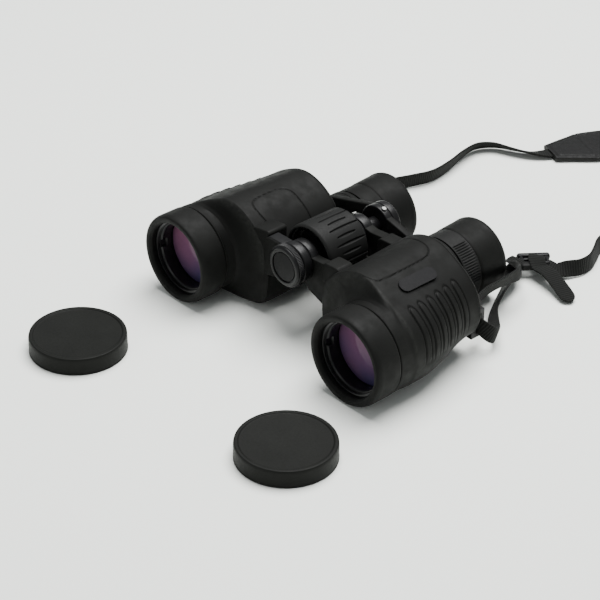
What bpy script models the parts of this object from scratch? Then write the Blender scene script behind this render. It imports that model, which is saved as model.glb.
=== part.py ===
"""Porro prism binoculars at widest spread, with two loose objective caps and a neck strap.

The halves are mirror images about a central hinge. side = +1 is the user's left half (+X), which
carries the hinge pin and the rear sleeve, and side = -1 is the half that folds. The optical axes
run along Y, with the objectives facing -Y. Every piece is laid out from the objective rim plane
(y = 0) and the table (z = 0), and the whole layout is then centred over its footprint.
"""
import math

import bmesh
import bpy
from mathutils import Matrix, Vector

MM = 0.001
GAP = 0.3 * MM

# Optical layout
OBJECTIVE_X = 70.3 * MM
BARREL_R = 26.9 * MM
OBJECTIVE_Z = BARREL_R
EYE_X = 36.0 * MM
EYECUP_R = 22.8 * MM
EYE_Z = EYECUP_R
HINGE_Z = 45.5 * MM
HINGE_PLACE = (0, 0, HINGE_Z)
PEAK_X = 51.4 * MM
PEAK_Z = 42.2 * MM
EYECUP_END_Y = 141.0 * MM

# Objective end
BUMPER_LENGTH = 16.6 * MM
MOUTH_R = 21.75 * MM
RIM_R = (24.0 * MM, 25.6 * MM)
CELL_R = 22.1 * MM
CELL_WALL = 1.2 * MM
LENS_R = 20.5 * MM
LENS_Y = 14.0 * MM

# Prism housing
NECK_Y = 17.0 * MM
HOUSING_END_Y = 84.6 * MM
REAR_COVER_END_Y = 87.2 * MM
WALL = 2.2 * MM
OUTLINE_POINTS = 32

# Hinge line, front to rear
COVER_FRONT_Y = 20.5 * MM
COVER_BACK_Y = 25.7 * MM
COVER_R = 12.6 * MM
PIN_R = 6.5 * MM
PIN_Y = (26.0 * MM, 42.0 * MM)
STUD_R = 3.175 * MM
FRONT_LUG_Y = {-1: (26.3 * MM, 32.3 * MM), 1: (32.7 * MM, 38.8 * MM)}
FRONT_LUG_R = {-1: 12.0 * MM, 1: 11.3 * MM}
WHEEL_Y = (39.5 * MM, 68.5 * MM)
WHEEL_R = 18.5 * MM
GRIP_WALL = 2.0 * MM
SPINDLE_R = 5.0 * MM
SPINDLE_Y = (46.5 * MM, 101.0 * MM)
SLEEVE_R = 8.1 * MM
SLEEVE_Y = (61.0 * MM, 82.8 * MM)
REAR_LUG_Y = {-1: (70.0 * MM, 75.3 * MM), 1: (75.7 * MM, 82.0 * MM)}
REAR_LUG_R = 10.5 * MM
SCREW_R = 1.5 * MM
SCREW_HEIGHT = 1.1 * MM

# Badge on the left half
PLATE_PLACE = (71.0 * MM, 53.4 * MM, 56.45 * MM)
PLATE_LEAN = math.radians(28.4)
PLATE_THICKNESS = 0.9 * MM
PLATE_STRAIGHT = 18.6 * MM
PLATE_R = 4.0 * MM

# Eyepieces and their bridge
BRIDGE_Y = {1: (91.6 * MM, 96.1 * MM), -1: (96.4 * MM, 100.9 * MM)}
HUB_R = 11.5 * MM
EYE_TUBE_R = 12.4 * MM
COLLAR_R = 21.8 * MM
GRIP_RING_Y = (108.5 * MM, 120.8 * MM)
OCULAR_R = 16.4 * MM
OCULAR_BORE_R = 11.9 * MM

# Loose objective caps, lying on the table with their mouths down
CAP_R = 27.65 * MM
CAP_HEIGHT = 10.2 * MM
CAP_WALL = 1.3 * MM
CAP_PLACES = {"right_objective_cap": (-67.8 * MM, -72.1 * MM),
              "left_objective_cap": (84.8 * MM, -54.2 * MM)}

# Neck strap
LUG_X = 80.0 * MM
LUG_Z = 16.6 * MM
WEBBING_WIDTH = 10.0 * MM
WEBBING_THICKNESS = 1.6 * MM
FLOOR_GAP = 0.1 * MM
PAD_WIDTH = 36.0 * MM
PAD_THICKNESS = 4.0 * MM

# Housing outlines: (x, z) from the hinge plane and the table, from the inner bottom corner outwards
FRONT_OUTLINE = [
    (24.5, 9.0), (30.0, 4.2), (41.0, 1.8), (55.0, 0.7), (70.3, 0.1), (84.0, 3.6), (93.6, 13.0),
    (97.2, 27.0), (94.6, 39.0), (87.0, 47.2), (76.5, 53.2), (67.0, 58.2), (58.0, 61.4), (48.5, 61.2),
    (39.0, 57.4), (30.5, 51.0), (24.4, 43.5), (22.4, 34.0), (22.4, 21.0)]
REAR_OUTLINE = [
    (24.0, 11.0), (31.0, 6.6), (41.0, 4.8), (55.0, 4.4), (69.0, 6.0), (79.5, 10.5), (86.6, 18.0),
    (89.4, 28.0), (87.8, 38.0), (82.6, 46.0), (74.5, 52.6), (66.0, 57.4), (57.5, 60.8), (49.0, 61.4),
    (40.0, 59.0), (31.0, 53.4), (25.0, 45.5), (20.9, 34.0), (20.4, 21.0)]

# Strap routes on the table, (x, y, z, tilt): tilt is the angle of the webbing's width from flat
NEAR_LOOP_ROUTE = [
    (42.4, 165.8, 8.8, 12), (46.6, 161.8, 10.2, 40), (53.6, 157.0, 12.8, 75), (60.4, 148.6, 16.5, 98),
    (63.8, 136.0, 19.5, 112), (65.6, 124.0, 21.0, 116), (67.4, 112.0, 21.5, 108), (71.0, 101.5, 20.5, 96),
    (75.6, 94.0, 18.2, 90), (80.0, 92.9, 17.0, 90), (84.4, 93.4, 14.8, 90), (88.0, 97.4, 10.4, 84),
    (86.2, 103.4, 7.2, 74), (78.5, 110.0, 6.3, 64), (68.5, 120.0, 6.0, 62), (59.0, 136.0, 5.8, 58),
    (51.0, 152.0, 5.0, 45), (46.6, 159.4, 4.6, 25), (42.6, 165.4, 5.6, 12)]
NEAR_RUN_ROUTE = [
    (59.2, 183.8, 4.8, 8), (61.4, 185.8, 4.6, 25), (64.6, 189.4, 5.2, 50), (68.2, 196.0, 5.3, 72),
    (68.0, 205.0, 5.2, 80), (64.0, 214.0, 5.2, 80), (59.0, 224.0, 5.0, 75), (57.4, 236.0, 4.4, 60),
    (59.0, 248.0, 3.2, 40), (62.0, 259.0, 2.4, 20), (64.0, 269.4, 1.8, 8)]
TAIL_ROUTE = [
    (54.9, 174.4, 7.8, 4), (59.6, 174.2, 8.0, 0), (65.0, 173.2, 7.6, 0), (75.0, 170.6, 5.0, 0),
    (86.5, 166.8, 1.8, 0)]
FAR_END_ROUTE = [
    (-75.4, 93.8, 18.2, 90), (-80.0, 92.9, 17.2, 90), (-84.2, 93.4, 15.6, 90), (-87.0, 98.6, 12.6, 84),
    (-85.8, 108.0, 9.2, 80), (-84.8, 118.0, 7.4, 78), (-84.0, 126.0, 6.4, 76)]
FAR_RUN_ROUTE = [
    (-83.8, 126.4, 6.4, 76), (-82.6, 142.0, 5.4, 78), (-81.0, 162.0, 5.3, 80), (-78.6, 181.0, 5.3, 80),
    (-73.0, 197.0, 5.3, 78), (-69.0, 211.0, 5.3, 76), (-71.0, 228.0, 5.2, 74), (-76.0, 246.0, 5.0, 66),
    (-78.4, 262.0, 4.6, 52), (-72.0, 273.0, 4.0, 44), (-60.0, 279.0, 3.4, 34), (-50.0, 285.0, 2.8, 22),
    (-44.2, 290.8, 2.4, 8)]
PAD_ROUTE = [
    (-42.4, 294.4, 2.3, 0), (-35.0, 312.0, 2.3, 0), (-25.0, 333.0, 2.3, 0), (-10.0, 352.0, 2.3, 0),
    (12.0, 363.0, 2.3, 0), (36.0, 360.0, 2.3, 0), (55.0, 344.0, 2.3, 0), (64.0, 320.0, 2.3, 0),
    (66.5, 295.0, 2.3, 0), (64.4, 270.8, 2.3, 0)]
BUCKLE_PLACE = Vector((46.6, 179.2, 7.0)) * MM
BUCKLE_HEADING = math.radians(51.5)

# The layout's centre over the table, taken over everything but the strap
LEFT_EDGE_X = -97.2 * MM
RIGHT_EDGE_X = CAP_PLACES["left_objective_cap"][0] + CAP_R
FRONT_EDGE_Y = CAP_PLACES["right_objective_cap"][1] - CAP_R
CENTRE = Vector((0.5 * (LEFT_EDGE_X + RIGHT_EDGE_X), 0.5 * (FRONT_EDGE_Y + EYECUP_END_Y), 0.0))
NAMES = {1: "left", -1: "right"}


def clear_scene():
    for item in list(bpy.data.objects):
        bpy.data.objects.remove(item, do_unlink=True)


def make_material(name, colour, roughness, metallic=0.0):
    material = bpy.data.materials.new(name)
    material.use_nodes = True
    shader = material.node_tree.nodes["Principled BSDF"]
    shader.inputs["Base Color"].default_value = (*colour, 1.0)
    shader.inputs["Roughness"].default_value = roughness
    shader.inputs["Metallic"].default_value = metallic
    return material


def make_materials():
    return {
        "armour": make_material("armour", (0.028, 0.028, 0.029), 0.62),
        "hard_plastic": make_material("hard_plastic", (0.022, 0.022, 0.023), 0.45),
        "black_metal": make_material("black_metal", (0.02, 0.02, 0.022), 0.35, 0.8),
        "steel": make_material("steel", (0.55, 0.55, 0.56), 0.3, 1.0),
        "coated_glass": make_material("coated_glass", (0.35, 0.12, 0.3), 0.05),
        "prism_glass": make_material("prism_glass", (0.75, 0.8, 0.8), 0.05),
        "badge": make_material("badge", (0.02, 0.02, 0.02), 0.3),
        "cap_plastic": make_material("cap_plastic", (0.03, 0.03, 0.028), 0.55),
        "webbing": make_material("webbing", (0.015, 0.015, 0.016), 0.85),
        "leatherette": make_material("leatherette", (0.018, 0.018, 0.018), 0.6),
    }


def make_empty(name, place, parent):
    empty = bpy.data.objects.new(name, None)
    empty.location = place
    empty.parent = parent
    bpy.context.scene.collection.objects.link(empty)
    return empty


def make_object(name, bm, material, parent, place=(0, 0, 0)):
    """Turn a bmesh into a named object at a place in the layout, whichever empty carries it."""
    bmesh.ops.recalc_face_normals(bm, faces=bm.faces)
    mesh = bpy.data.meshes.new(name)
    bm.to_mesh(mesh)
    bm.free()
    mesh.shade_smooth()
    mesh.set_sharp_from_angle(angle=math.radians(35))
    if material:
        mesh.materials.append(material)
    item = bpy.data.objects.new(name, mesh)
    item.location = place
    item.parent = parent
    if parent.parent:
        item.matrix_parent_inverse = Matrix.Translation(-parent.location)
    bpy.context.scene.collection.objects.link(item)
    return item


def turned(profile, segments=24):
    """A solid turned about the Y axis from a closed profile of (radius, y) in metres."""
    bm = bmesh.new()
    points = [bm.verts.new((radius, y, 0)) for radius, y in profile]
    edges = [bm.edges.new((a, b)) for a, b in zip(points, points[1:] + points[:1])
             if a.co.x > 1e-7 or b.co.x > 1e-7]
    bmesh.ops.spin(bm, geom=points + edges, cent=(0, 0, 0), axis=(0, 1, 0),
                   angle=math.tau, steps=segments, use_merge=True)
    bmesh.ops.remove_doubles(bm, verts=bm.verts, dist=1e-6)
    bmesh.ops.dissolve_degenerate(bm, edges=bm.edges, dist=1e-6)
    return bm


def ring(inner, outer, y_start, y_end, edge=0.4 * MM, segments=24):
    """A plain tube with small chamfers on its outer edges."""
    return turned([(inner, y_start), (outer - edge, y_start), (outer, y_start + edge),
                   (outer, y_end - edge), (outer - edge, y_end), (inner, y_end)], segments)


def rod(radius, y_start, y_end, edge=0.3 * MM, segments=18):
    return turned([(0, y_start), (radius - edge, y_start), (radius, y_start + edge),
                   (radius, y_end - edge), (radius - edge, y_end), (0, y_end)], segments)


def lofted_ring(outer_rows, inner_rows):
    """Join rows of points into an open-ended tube whose wall lies between two skins."""
    bm = bmesh.new()
    rows = [[bm.verts.new(point) for point in row] for row in outer_rows + inner_rows[::-1]]
    count = len(rows[0])
    for first, second in zip(rows, rows[1:] + rows[:1]):
        for i in range(count):
            j = (i + 1) % count
            bm.faces.new((first[i], first[j], second[j], second[i]))
    return bm


def lofted_solid(rows):
    """Join rows of points into a solid with a flat face at each end."""
    bm = bmesh.new()
    rings = [[bm.verts.new(point) for point in row] for row in rows]
    count = len(rings[0])
    for first, second in zip(rings, rings[1:]):
        for i in range(count):
            j = (i + 1) % count
            bm.faces.new((first[i], first[j], second[j], second[i]))
    bm.faces.new(rings[0][::-1])
    bm.faces.new(rings[-1])
    return bm


def ribbed_ring(inner, groove, outer, y_start, y_end, ribs):
    """A tube whose outside carries evenly spaced lengthwise ribs."""
    turns = [(rib + part) / ribs * math.tau for rib in range(ribs) for part in (0.0, 0.35, 0.5, 0.85)]
    radii = [groove, groove, outer, outer] * ribs

    def row(y, radius_list):
        return [(r * math.cos(t), y, r * math.sin(t)) for r, t in zip(radius_list, turns)]
    bores = [inner] * len(turns)
    return lofted_ring([row(y_start, radii), row(y_end, radii)], [row(y_start, bores), row(y_end, bores)])


def closed_curve(points, count):
    """Points spaced along a smooth closed curve through the given ones."""
    total = len(points)
    fine = []
    for i in range(total):
        p0, p1, p2, p3 = (Vector(points[(i + k) % total]) for k in (-1, 0, 1, 2))
        for step in range(12):
            t = step / 12
            fine.append(0.5 * (2 * p1 + (p2 - p0) * t + (2 * p0 - 5 * p1 + 4 * p2 - p3) * t ** 2
                               + (3 * p1 - p0 - 3 * p2 + p3) * t ** 3))
    lengths = [0.0]
    for a, b in zip(fine, fine[1:] + fine[:1]):
        lengths.append(lengths[-1] + (b - a).length)
    result = []
    k = 0
    for i in range(count):
        target = lengths[-1] * i / count
        while lengths[k + 1] < target:
            k += 1
        part = (target - lengths[k]) / (lengths[k + 1] - lengths[k])
        result.append(fine[k].lerp(fine[(k + 1) % len(fine)], part))
    return result


def shrunk(outline, distance):
    """Move each point of an outline inwards by a distance."""
    count = len(outline)
    moved = []
    for i, point in enumerate(outline):
        along = outline[(i + 1) % count] - outline[i - 1]
        inward = Vector((-along.y, along.x)).normalized()
        moved.append(point + inward * distance)
    return moved


def smooth_step(value):
    value = min(max(value, 0.0), 1.0)
    return value * value * (3 - 2 * value)


FRONT_CURVE = [p * MM for p in closed_curve(FRONT_OUTLINE, OUTLINE_POINTS)]
REAR_CURVE = [p * MM for p in closed_curve(REAR_OUTLINE, OUTLINE_POINTS)]
BARREL_CENTRE = Vector((OBJECTIVE_X, OBJECTIVE_Z))


def barrel_circle(radius):
    """A circle about the objective axis whose points pair up with the housing outline's."""
    start = FRONT_CURVE[0] - BARREL_CENTRE
    first = math.atan2(start.y, start.x)
    return [BARREL_CENTRE + radius * Vector((math.cos(first + math.tau * i / OUTLINE_POINTS),
                                             math.sin(first + math.tau * i / OUTLINE_POINTS)))
            for i in range(OUTLINE_POINTS)]


def housing_outline(y):
    """The housing's outline at a distance behind the rim: the outer side narrows to the rear."""
    part = smooth_step((y - 38 * MM) / (46 * MM))
    return [a.lerp(b, part) for a, b in zip(FRONT_CURVE, REAR_CURVE)]


def blended(circle, outline, part):
    return [a.lerp(b, part) for a, b in zip(circle, outline)]


def placed(outline, y, side):
    points = [(side * p.x, y, p.y) for p in outline]
    return points if side > 0 else points[::-1]


def housing_mesh(side):
    """The housing shell: a flared neck behind the bumper, opening into the prism chamber."""
    outer = [(NECK_Y, barrel_circle(26.2 * MM)), (NECK_Y + 2 * MM, barrel_circle(25.6 * MM))]
    for y, part in ((23, 0.1), (25.5, 0.45), (27.5, 0.85), (30, 1.0)):
        outer.append((y * MM, blended(barrel_circle(25.8 * MM), housing_outline(y * MM), part)))
    for y in (46, 60, 72, 80):
        outer.append((y * MM, housing_outline(y * MM)))
    outer.append((HOUSING_END_Y, shrunk(housing_outline(HOUSING_END_Y), 0.5 * MM)))
    inner = [(NECK_Y, barrel_circle(CELL_R + GAP)), (26 * MM, barrel_circle(CELL_R + GAP))]
    inner.append((29 * MM, blended(barrel_circle(CELL_R + GAP), shrunk(housing_outline(30 * MM), WALL), 0.5)))
    for y in (33, 60):
        inner.append((y * MM, shrunk(housing_outline(y * MM), WALL)))
    inner.append((HOUSING_END_Y, shrunk(housing_outline(HOUSING_END_Y), WALL)))
    return lofted_ring([placed(outline, y, side) for y, outline in outer],
                       [placed(outline, y, side) for y, outline in inner])


def add_tool(item, operation, tool):
    """Join or cut an object with a hidden tool object."""
    modifier = item.modifiers.new(tool.name, "BOOLEAN")
    modifier.operation = operation
    modifier.object = tool
    modifier.solver = "EXACT"
    tool.hide_render = True
    tool.display_type = "WIRE"


def plate_mesh(outline, y_start, y_end, side=1):
    """An outline of (x, z) in millimetres, extruded along Y."""
    points = [Vector(point) * MM for point in outline]
    return lofted_solid([placed(points, y, side) for y in (y_start, y_end)])


def hinge_arm(item, side, parent, label, outline, lug_r, y_span, bore_r):
    """Give a housing an arm that ends in a bored ring on the hinge line."""
    name = NAMES[side] + "_" + label
    arm = make_object(name + "_arm_tool", plate_mesh(outline, *y_span, side), None, parent)
    lug = make_object(name + "_lug_tool", rod(lug_r, *y_span, 0.5 * MM, 24), None, parent, HINGE_PLACE)
    bore = make_object(name + "_bore_tool", rod(bore_r, y_span[0] - MM, y_span[1] + MM, 0.1 * MM, 20),
                       None, parent, HINGE_PLACE)
    add_tool(item, "UNION", arm)
    add_tool(item, "UNION", lug)
    add_tool(item, "DIFFERENCE", bore)


FRONT_ARM = {
    1: [(-2.0, 36.0), (7.0, 29.6), (20.0, 24.0), (27.0, 22.0), (29.5, 36.0), (32.0, 50.0), (29.0, 52.4),
        (20.0, 51.6), (11.0, 51.0), (2.0, 52.0)],
    -1: [(-2.0, 36.0), (7.0, 29.6), (20.0, 24.0), (27.0, 22.0), (29.5, 36.0), (30.0, 46.0), (25.0, 53.4),
         (21.5, 55.0), (8.0, 55.2), (2.0, 54.0)]}
REAR_ARM = [(-2.0, 37.5), (8.0, 35.5), (22.0, 33.5), (24.0, 35.5), (30.0, 44.0), (34.0, 52.0), (31.0, 53.6),
            (22.0, 52.6), (12.0, 51.8), (3.0, 53.6)]


def add_housing(side, frame, materials):
    name = NAMES[side]
    item = make_object(name + "_prism_housing", housing_mesh(side), materials["armour"], frame)
    hinge_arm(item, side, frame, "front", FRONT_ARM[side], FRONT_LUG_R[side], FRONT_LUG_Y[side], PIN_R + GAP)
    hinge_arm(item, side, frame, "rear", REAR_ARM, REAR_LUG_R, REAR_LUG_Y[side], SLEEVE_R + GAP)


def add_rear_cover(side, frame, materials):
    """The plate that closes the prism chamber, bored for the eyepiece tube."""
    outlines = [(HOUSING_END_Y + GAP, 0.5), (REAR_COVER_END_Y - 1.2 * MM, 1.0), (REAR_COVER_END_Y, 2.2)]
    rows = [placed(shrunk(REAR_CURVE, inset * MM), y, side) for y, inset in outlines]
    cover = make_object(NAMES[side] + "_rear_cover", lofted_solid(rows), materials["armour"], frame)
    bore = make_object(NAMES[side] + "_cover_bore_tool",
                       rod(EYE_TUBE_R + GAP, HOUSING_END_Y - MM, REAR_COVER_END_Y + MM, 0.1 * MM, 20),
                       None, frame, (side * EYE_X, 0, EYE_Z))
    add_tool(cover, "DIFFERENCE", bore)


def add_objective(side, frame, materials):
    """Bumper ring, lens cell, notched retaining ring and front lens, in their order."""
    place = (side * OBJECTIVE_X, 0, OBJECTIVE_Z)
    name = NAMES[side]
    skirt = CELL_R + GAP
    bumper = turned([
        (MOUTH_R, 1.9 * MM), (22.8 * MM, 0.7 * MM), (RIM_R[0], 0), (RIM_R[1], 0), (26.5 * MM, 0.5 * MM),
        (BARREL_R, 1.6 * MM), (BARREL_R, 15.4 * MM), (BARREL_R - 0.5 * MM, BUMPER_LENGTH),
        (skirt, BUMPER_LENGTH), (skirt, 4.0 * MM), (MOUTH_R, 3.6 * MM)], 28)
    make_object(name + "_objective_bumper", bumper, materials["armour"], frame, place)
    bore = CELL_R - CELL_WALL
    cell = turned([
        (bore, 4.4 * MM), (CELL_R, 4.4 * MM), (CELL_R, 25.7 * MM), (18.8 * MM, 25.7 * MM),
        (18.8 * MM, 24.9 * MM), (19.6 * MM, 20.6 * MM), (bore, 20.6 * MM)], 24)
    make_object(name + "_objective_cell", cell, materials["black_metal"], frame, place)
    retainer_mesh = ring(19.7 * MM, bore - GAP, 10.6 * MM, 13.4 * MM, 0.2 * MM)
    retainer = make_object(name + "_lens_retainer", retainer_mesh, materials["black_metal"], frame, place)
    notch = make_object(name + "_notch_tool", slab(50 * MM, 2.4 * MM, 2.6 * MM), None, frame,
                        (place[0], 10.2 * MM, OBJECTIVE_Z))
    add_tool(retainer, "DIFFERENCE", notch)
    make_object(name + "_objective_lens", lens_mesh(LENS_R, LENS_Y, 6.2 * MM, 1.7 * MM),
                materials["coated_glass"], frame, place)


def slab(length_x, length_y, length_z):
    """A box about its own centre."""
    bm = bmesh.new()
    bmesh.ops.create_cube(bm, size=1.0)
    bmesh.ops.scale(bm, vec=(length_x, length_y, length_z), verts=bm.verts)
    return bm


def lens_mesh(radius, y, thickness, bulge):
    """A lens with domed faces and a straight edge."""
    steps = 2
    front = [(radius * k / steps, y + bulge * (k / steps) ** 2) for k in range(steps + 1)]
    back = [(r, 2 * y + thickness - front_y) for r, front_y in reversed(front)]
    return turned(front + back, 24)


def wedge_mesh(start, end, half_width, y_base, y_roof):
    """A roof prism block: a long flat face at y_base and a ridge at y_roof."""
    start, end = Vector(start), Vector(end)
    middle = (start + end) / 2
    along = (end - start).normalized()
    across = Vector((-along.y, along.x)) * half_width
    flat = 1.5 * MM
    bm = bmesh.new()
    sides = []
    for shift in (-across, across):
        corners = [(start, y_base), (end, y_base), (middle + along * flat, y_roof),
                   (middle - along * flat, y_roof)]
        sides.append([bm.verts.new(((p + shift).x, y, (p + shift).y)) for p, y in corners])
    first, second = sides
    bm.faces.new(first)
    bm.faces.new(second[::-1])
    for i in range(4):
        j = (i + 1) % 4
        bm.faces.new((first[i], first[j], second[j], second[i]))
    return bm


def add_prisms(side, frame, materials):
    """Two crossed Porro prisms on a bored shelf that spans the chamber."""
    name = NAMES[side]
    objective, peak, eye = (Vector(p) for p in ((OBJECTIVE_X, OBJECTIVE_Z), (PEAK_X, PEAK_Z), (EYE_X, EYE_Z)))
    reach = 8.5 * MM
    down = (objective - peak).normalized() * reach
    turn = (eye - peak).normalized() * (reach - 1.5 * MM)
    shelf_y = (52.6 * MM, 55.0 * MM)
    blocks = (("rear_prism", objective + down, peak - down, 9.0 * MM, shelf_y[1] + GAP, 74.0 * MM),
              ("front_prism", eye + turn, peak - turn, 7.6 * MM, shelf_y[0] - GAP, 35.0 * MM))
    for label, start, end, half_width, base, roof in blocks:
        bm = wedge_mesh((side * start.x, start.y), (side * end.x, end.y), half_width, base, roof)
        make_object(name + "_" + label, bm, materials["prism_glass"], frame)
    outline = shrunk(housing_outline(shelf_y[1]), WALL + 4 * GAP)
    shelf = make_object(name + "_prism_shelf", lofted_solid([placed(outline, y, side) for y in shelf_y]),
                        materials["black_metal"], frame)
    for label, centre, radius in (("objective", objective, 8.6), ("peak", peak, 6.6), ("eye", eye, 7.0)):
        hole = make_object(name + "_shelf_" + label + "_tool",
                           rod(radius * MM, shelf_y[0] - MM, shelf_y[1] + MM, 0.1 * MM, 12),
                           None, frame, (side * centre.x, 0, centre.y))
        add_tool(shelf, "DIFFERENCE", hole)


def belt_outline(first, first_r, second, second_r, steps=8):
    """The outline of a belt round two circles, as (x, z) points."""
    first, second = Vector(first), Vector(second)
    between = second - first
    heading = math.atan2(between.y, between.x)
    lean = math.acos((first_r - second_r) / between.length)
    points = []
    for centre, radius, start, end in ((second, second_r, -lean, lean),
                                       (first, first_r, lean, math.tau - lean)):
        for k in range(steps + 1):
            angle = heading + start + (end - start) * k / steps
            points.append(centre + radius * Vector((math.cos(angle), math.sin(angle))))
    return points


def add_bridge(side, slide_frame, materials):
    """A plate from the focus spindle's hub to the eyepiece, whose tube it carries."""
    name = NAMES[side]
    y_span = BRIDGE_Y[side]
    outline = belt_outline((0, HINGE_Z), HUB_R, (EYE_X, EYE_Z), COLLAR_R + 0.4 * MM)
    arm = make_object(name + "_bridge_arm", lofted_solid([placed(outline, y, side) for y in y_span]),
                      materials["armour"], slide_frame)
    for label, radius, place in (("hub", SPINDLE_R + GAP, HINGE_PLACE),
                                 ("eye", EYE_TUBE_R + GAP, (side * EYE_X, 0, EYE_Z))):
        bore = make_object(name + "_bridge_" + label + "_tool",
                           rod(radius, y_span[0] - MM, y_span[1] + MM, 0.1 * MM, 20), None, slide_frame, place)
        add_tool(arm, "DIFFERENCE", bore)


def add_eyepiece(side, slide_frame, materials):
    """Tube, collar, grip ring, ocular cell, both lenses and the rubber eyecup."""
    name = NAMES[side]
    place = (side * EYE_X, 0, EYE_Z)
    tube = ring(10.9 * MM, EYE_TUBE_R, 74 * MM, 107.4 * MM, 0.3 * MM, 20)
    make_object(name + "_eyepiece_tube", tube, materials["black_metal"], slide_frame, place)
    make_object(name + "_field_lens", lens_mesh(10.6 * MM, 77 * MM, 4.6 * MM, 1.2 * MM),
                materials["coated_glass"], slide_frame, place)
    collar = ring(EYE_TUBE_R + GAP, COLLAR_R, BRIDGE_Y[side][1] + GAP, 107.4 * MM)
    make_object(name + "_eyepiece_collar", collar, materials["hard_plastic"], slide_frame, place)
    y_start, y_end = GRIP_RING_Y
    if side > 0:
        grip = ribbed_ring(OCULAR_R + GAP, COLLAR_R - 0.9 * MM, COLLAR_R - 0.2 * MM, y_start, y_end, 18)
    else:
        grip = ring(OCULAR_R + GAP, COLLAR_R - 0.2 * MM, y_start, y_end)
    label = "_dioptre_ring" if side > 0 else "_eyepiece_ring"
    make_object(name + label, grip, materials["hard_plastic"], slide_frame, place)
    ocular = turned([
        (OCULAR_BORE_R, 109.2 * MM), (OCULAR_R, 109.2 * MM), (OCULAR_R, 131.0 * MM),
        (13.4 * MM, 133.0 * MM), (10.6 * MM, 133.0 * MM), (10.6 * MM, 131.6 * MM),
        (OCULAR_BORE_R, 131.0 * MM)], 20)
    make_object(name + "_ocular_cell", ocular, materials["black_metal"], slide_frame, place)
    make_object(name + "_eye_lens", lens_mesh(OCULAR_BORE_R - GAP, 125.4 * MM, 5.2 * MM, 1.4 * MM),
                materials["coated_glass"], slide_frame, place)
    front_y = y_end + GAP
    eyecup = turned([
        (OCULAR_R + GAP, front_y), (COLLAR_R - 0.4 * MM, front_y), (COLLAR_R + 0.1 * MM, front_y + 1.2 * MM),
        (EYECUP_R - 0.4 * MM, 137.6 * MM), (EYECUP_R, 139.6 * MM), (EYECUP_R - 0.9 * MM, EYECUP_END_Y),
        (EYECUP_R - 2.4 * MM, EYECUP_END_Y), (18.6 * MM, 137.6 * MM), (OCULAR_R + GAP, 133.4 * MM)], 28)
    make_object(name + "_eyecup", eyecup, materials["armour"], slide_frame, place)


def add_strap_lug(side, frame, materials):
    """A flat eye on the rear cover that the webbing passes through."""
    x = side * LUG_X
    start_y = REAR_COVER_END_Y + GAP
    lug = make_object(NAMES[side] + "_strap_lug", slab(3.6 * MM, 9.6 * MM, 17.0 * MM),
                      materials["hard_plastic"], frame, (x, start_y + 4.8 * MM, LUG_Z))
    slot = make_object(NAMES[side] + "_lug_slot_tool", slab(20 * MM, 3.8 * MM, 12.6 * MM), None, frame,
                       (x, start_y + 5.4 * MM, LUG_Z))
    add_tool(lug, "DIFFERENCE", slot)


def add_name_plate(frame, materials):
    """A plain oval-ended badge on the upper outer face of the left half, tangent to it."""
    rows = []
    for depth in (0.0, PLATE_THICKNESS):
        row = []
        for centre, start in ((PLATE_STRAIGHT / 2, -90), (-PLATE_STRAIGHT / 2, 90)):
            for k in range(9):
                angle = math.radians(start + 180 * k / 8)
                row.append((PLATE_R * math.sin(angle), centre + PLATE_R * math.cos(angle), depth))
        rows.append(row)
    plate = make_object("left_name_plate", lofted_solid(rows), materials["badge"], frame, PLATE_PLACE)
    plate.rotation_euler = (0, PLATE_LEAN, 0)


def add_hinge_line(frame, materials):
    """Pin, sleeve, wheel and spindle, all turned about the hinge line."""
    pin = turned([(0, 38 * MM), (STUD_R + GAP, 37.4 * MM), (STUD_R + GAP, PIN_Y[0]),
                  (PIN_R - 0.4 * MM, PIN_Y[0]), (PIN_R, PIN_Y[0] + 0.4 * MM), (PIN_R, PIN_Y[1]),
                  (0, PIN_Y[1])], 18)
    make_object("front_hinge_pin", pin, materials["steel"], frame, HINGE_PLACE)
    sleeve = ring(SPINDLE_R + GAP, SLEEVE_R, *SLEEVE_Y, 0.3 * MM, 20)
    make_object("rear_hinge_sleeve", sleeve, materials["black_metal"], frame, HINGE_PLACE)
    core_r = WHEEL_R - GRIP_WALL - GAP
    core = turned([
        (PIN_R + GAP, 40.6 * MM), (9.0 * MM, 40.6 * MM), (9.0 * MM, 47.5 * MM), (core_r, 47.5 * MM),
        (core_r, 67.8 * MM), (SLEEVE_R + GAP, 67.8 * MM), (SLEEVE_R + GAP, 60.4 * MM),
        (SPINDLE_R + GAP, 60.4 * MM), (SPINDLE_R + GAP, 46 * MM), (PIN_R + GAP, 46 * MM)], 24)
    make_object("focus_wheel_core", core, materials["black_metal"], frame, HINGE_PLACE)
    grip = ribbed_ring(WHEEL_R - GRIP_WALL, WHEEL_R - 0.8 * MM, WHEEL_R, *WHEEL_Y, 18)
    make_object("focus_wheel_grip", grip, materials["armour"], frame, HINGE_PLACE)
    make_object("focus_spindle", rod(SPINDLE_R, *SPINDLE_Y), materials["steel"], frame, HINGE_PLACE)
    cap_y = SPINDLE_Y[1] + GAP
    cap = turned([(0, cap_y), (7.6 * MM, cap_y), (8.0 * MM, cap_y + 0.6 * MM), (7.0 * MM, cap_y + 2.2 * MM),
                  (4.0 * MM, cap_y + 3.0 * MM), (0, cap_y + 3.2 * MM)], 16)
    make_object("bridge_cap", cap, materials["hard_plastic"], frame, HINGE_PLACE)


def add_screws(frame, materials):
    """Two small round screw heads: one on the rear lug and one on the bridge hub."""
    for name, radius, x, y in (("rear_lug_screw", REAR_LUG_R, -4.6, 79.4),
                               ("bridge_hub_screw", HUB_R, 4.2, 93.8)):
        lean = math.asin(x * MM / radius)
        head = make_object(name, rod(SCREW_R, radius + GAP, radius + SCREW_HEIGHT, 0.3 * MM, 10),
                           materials["steel"], frame, (0, y * MM, HINGE_Z))
        outward = Vector((math.sin(lean), 0, math.cos(lean)))
        head.rotation_euler = outward.to_track_quat("Y", "Z").to_euler()


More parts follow.
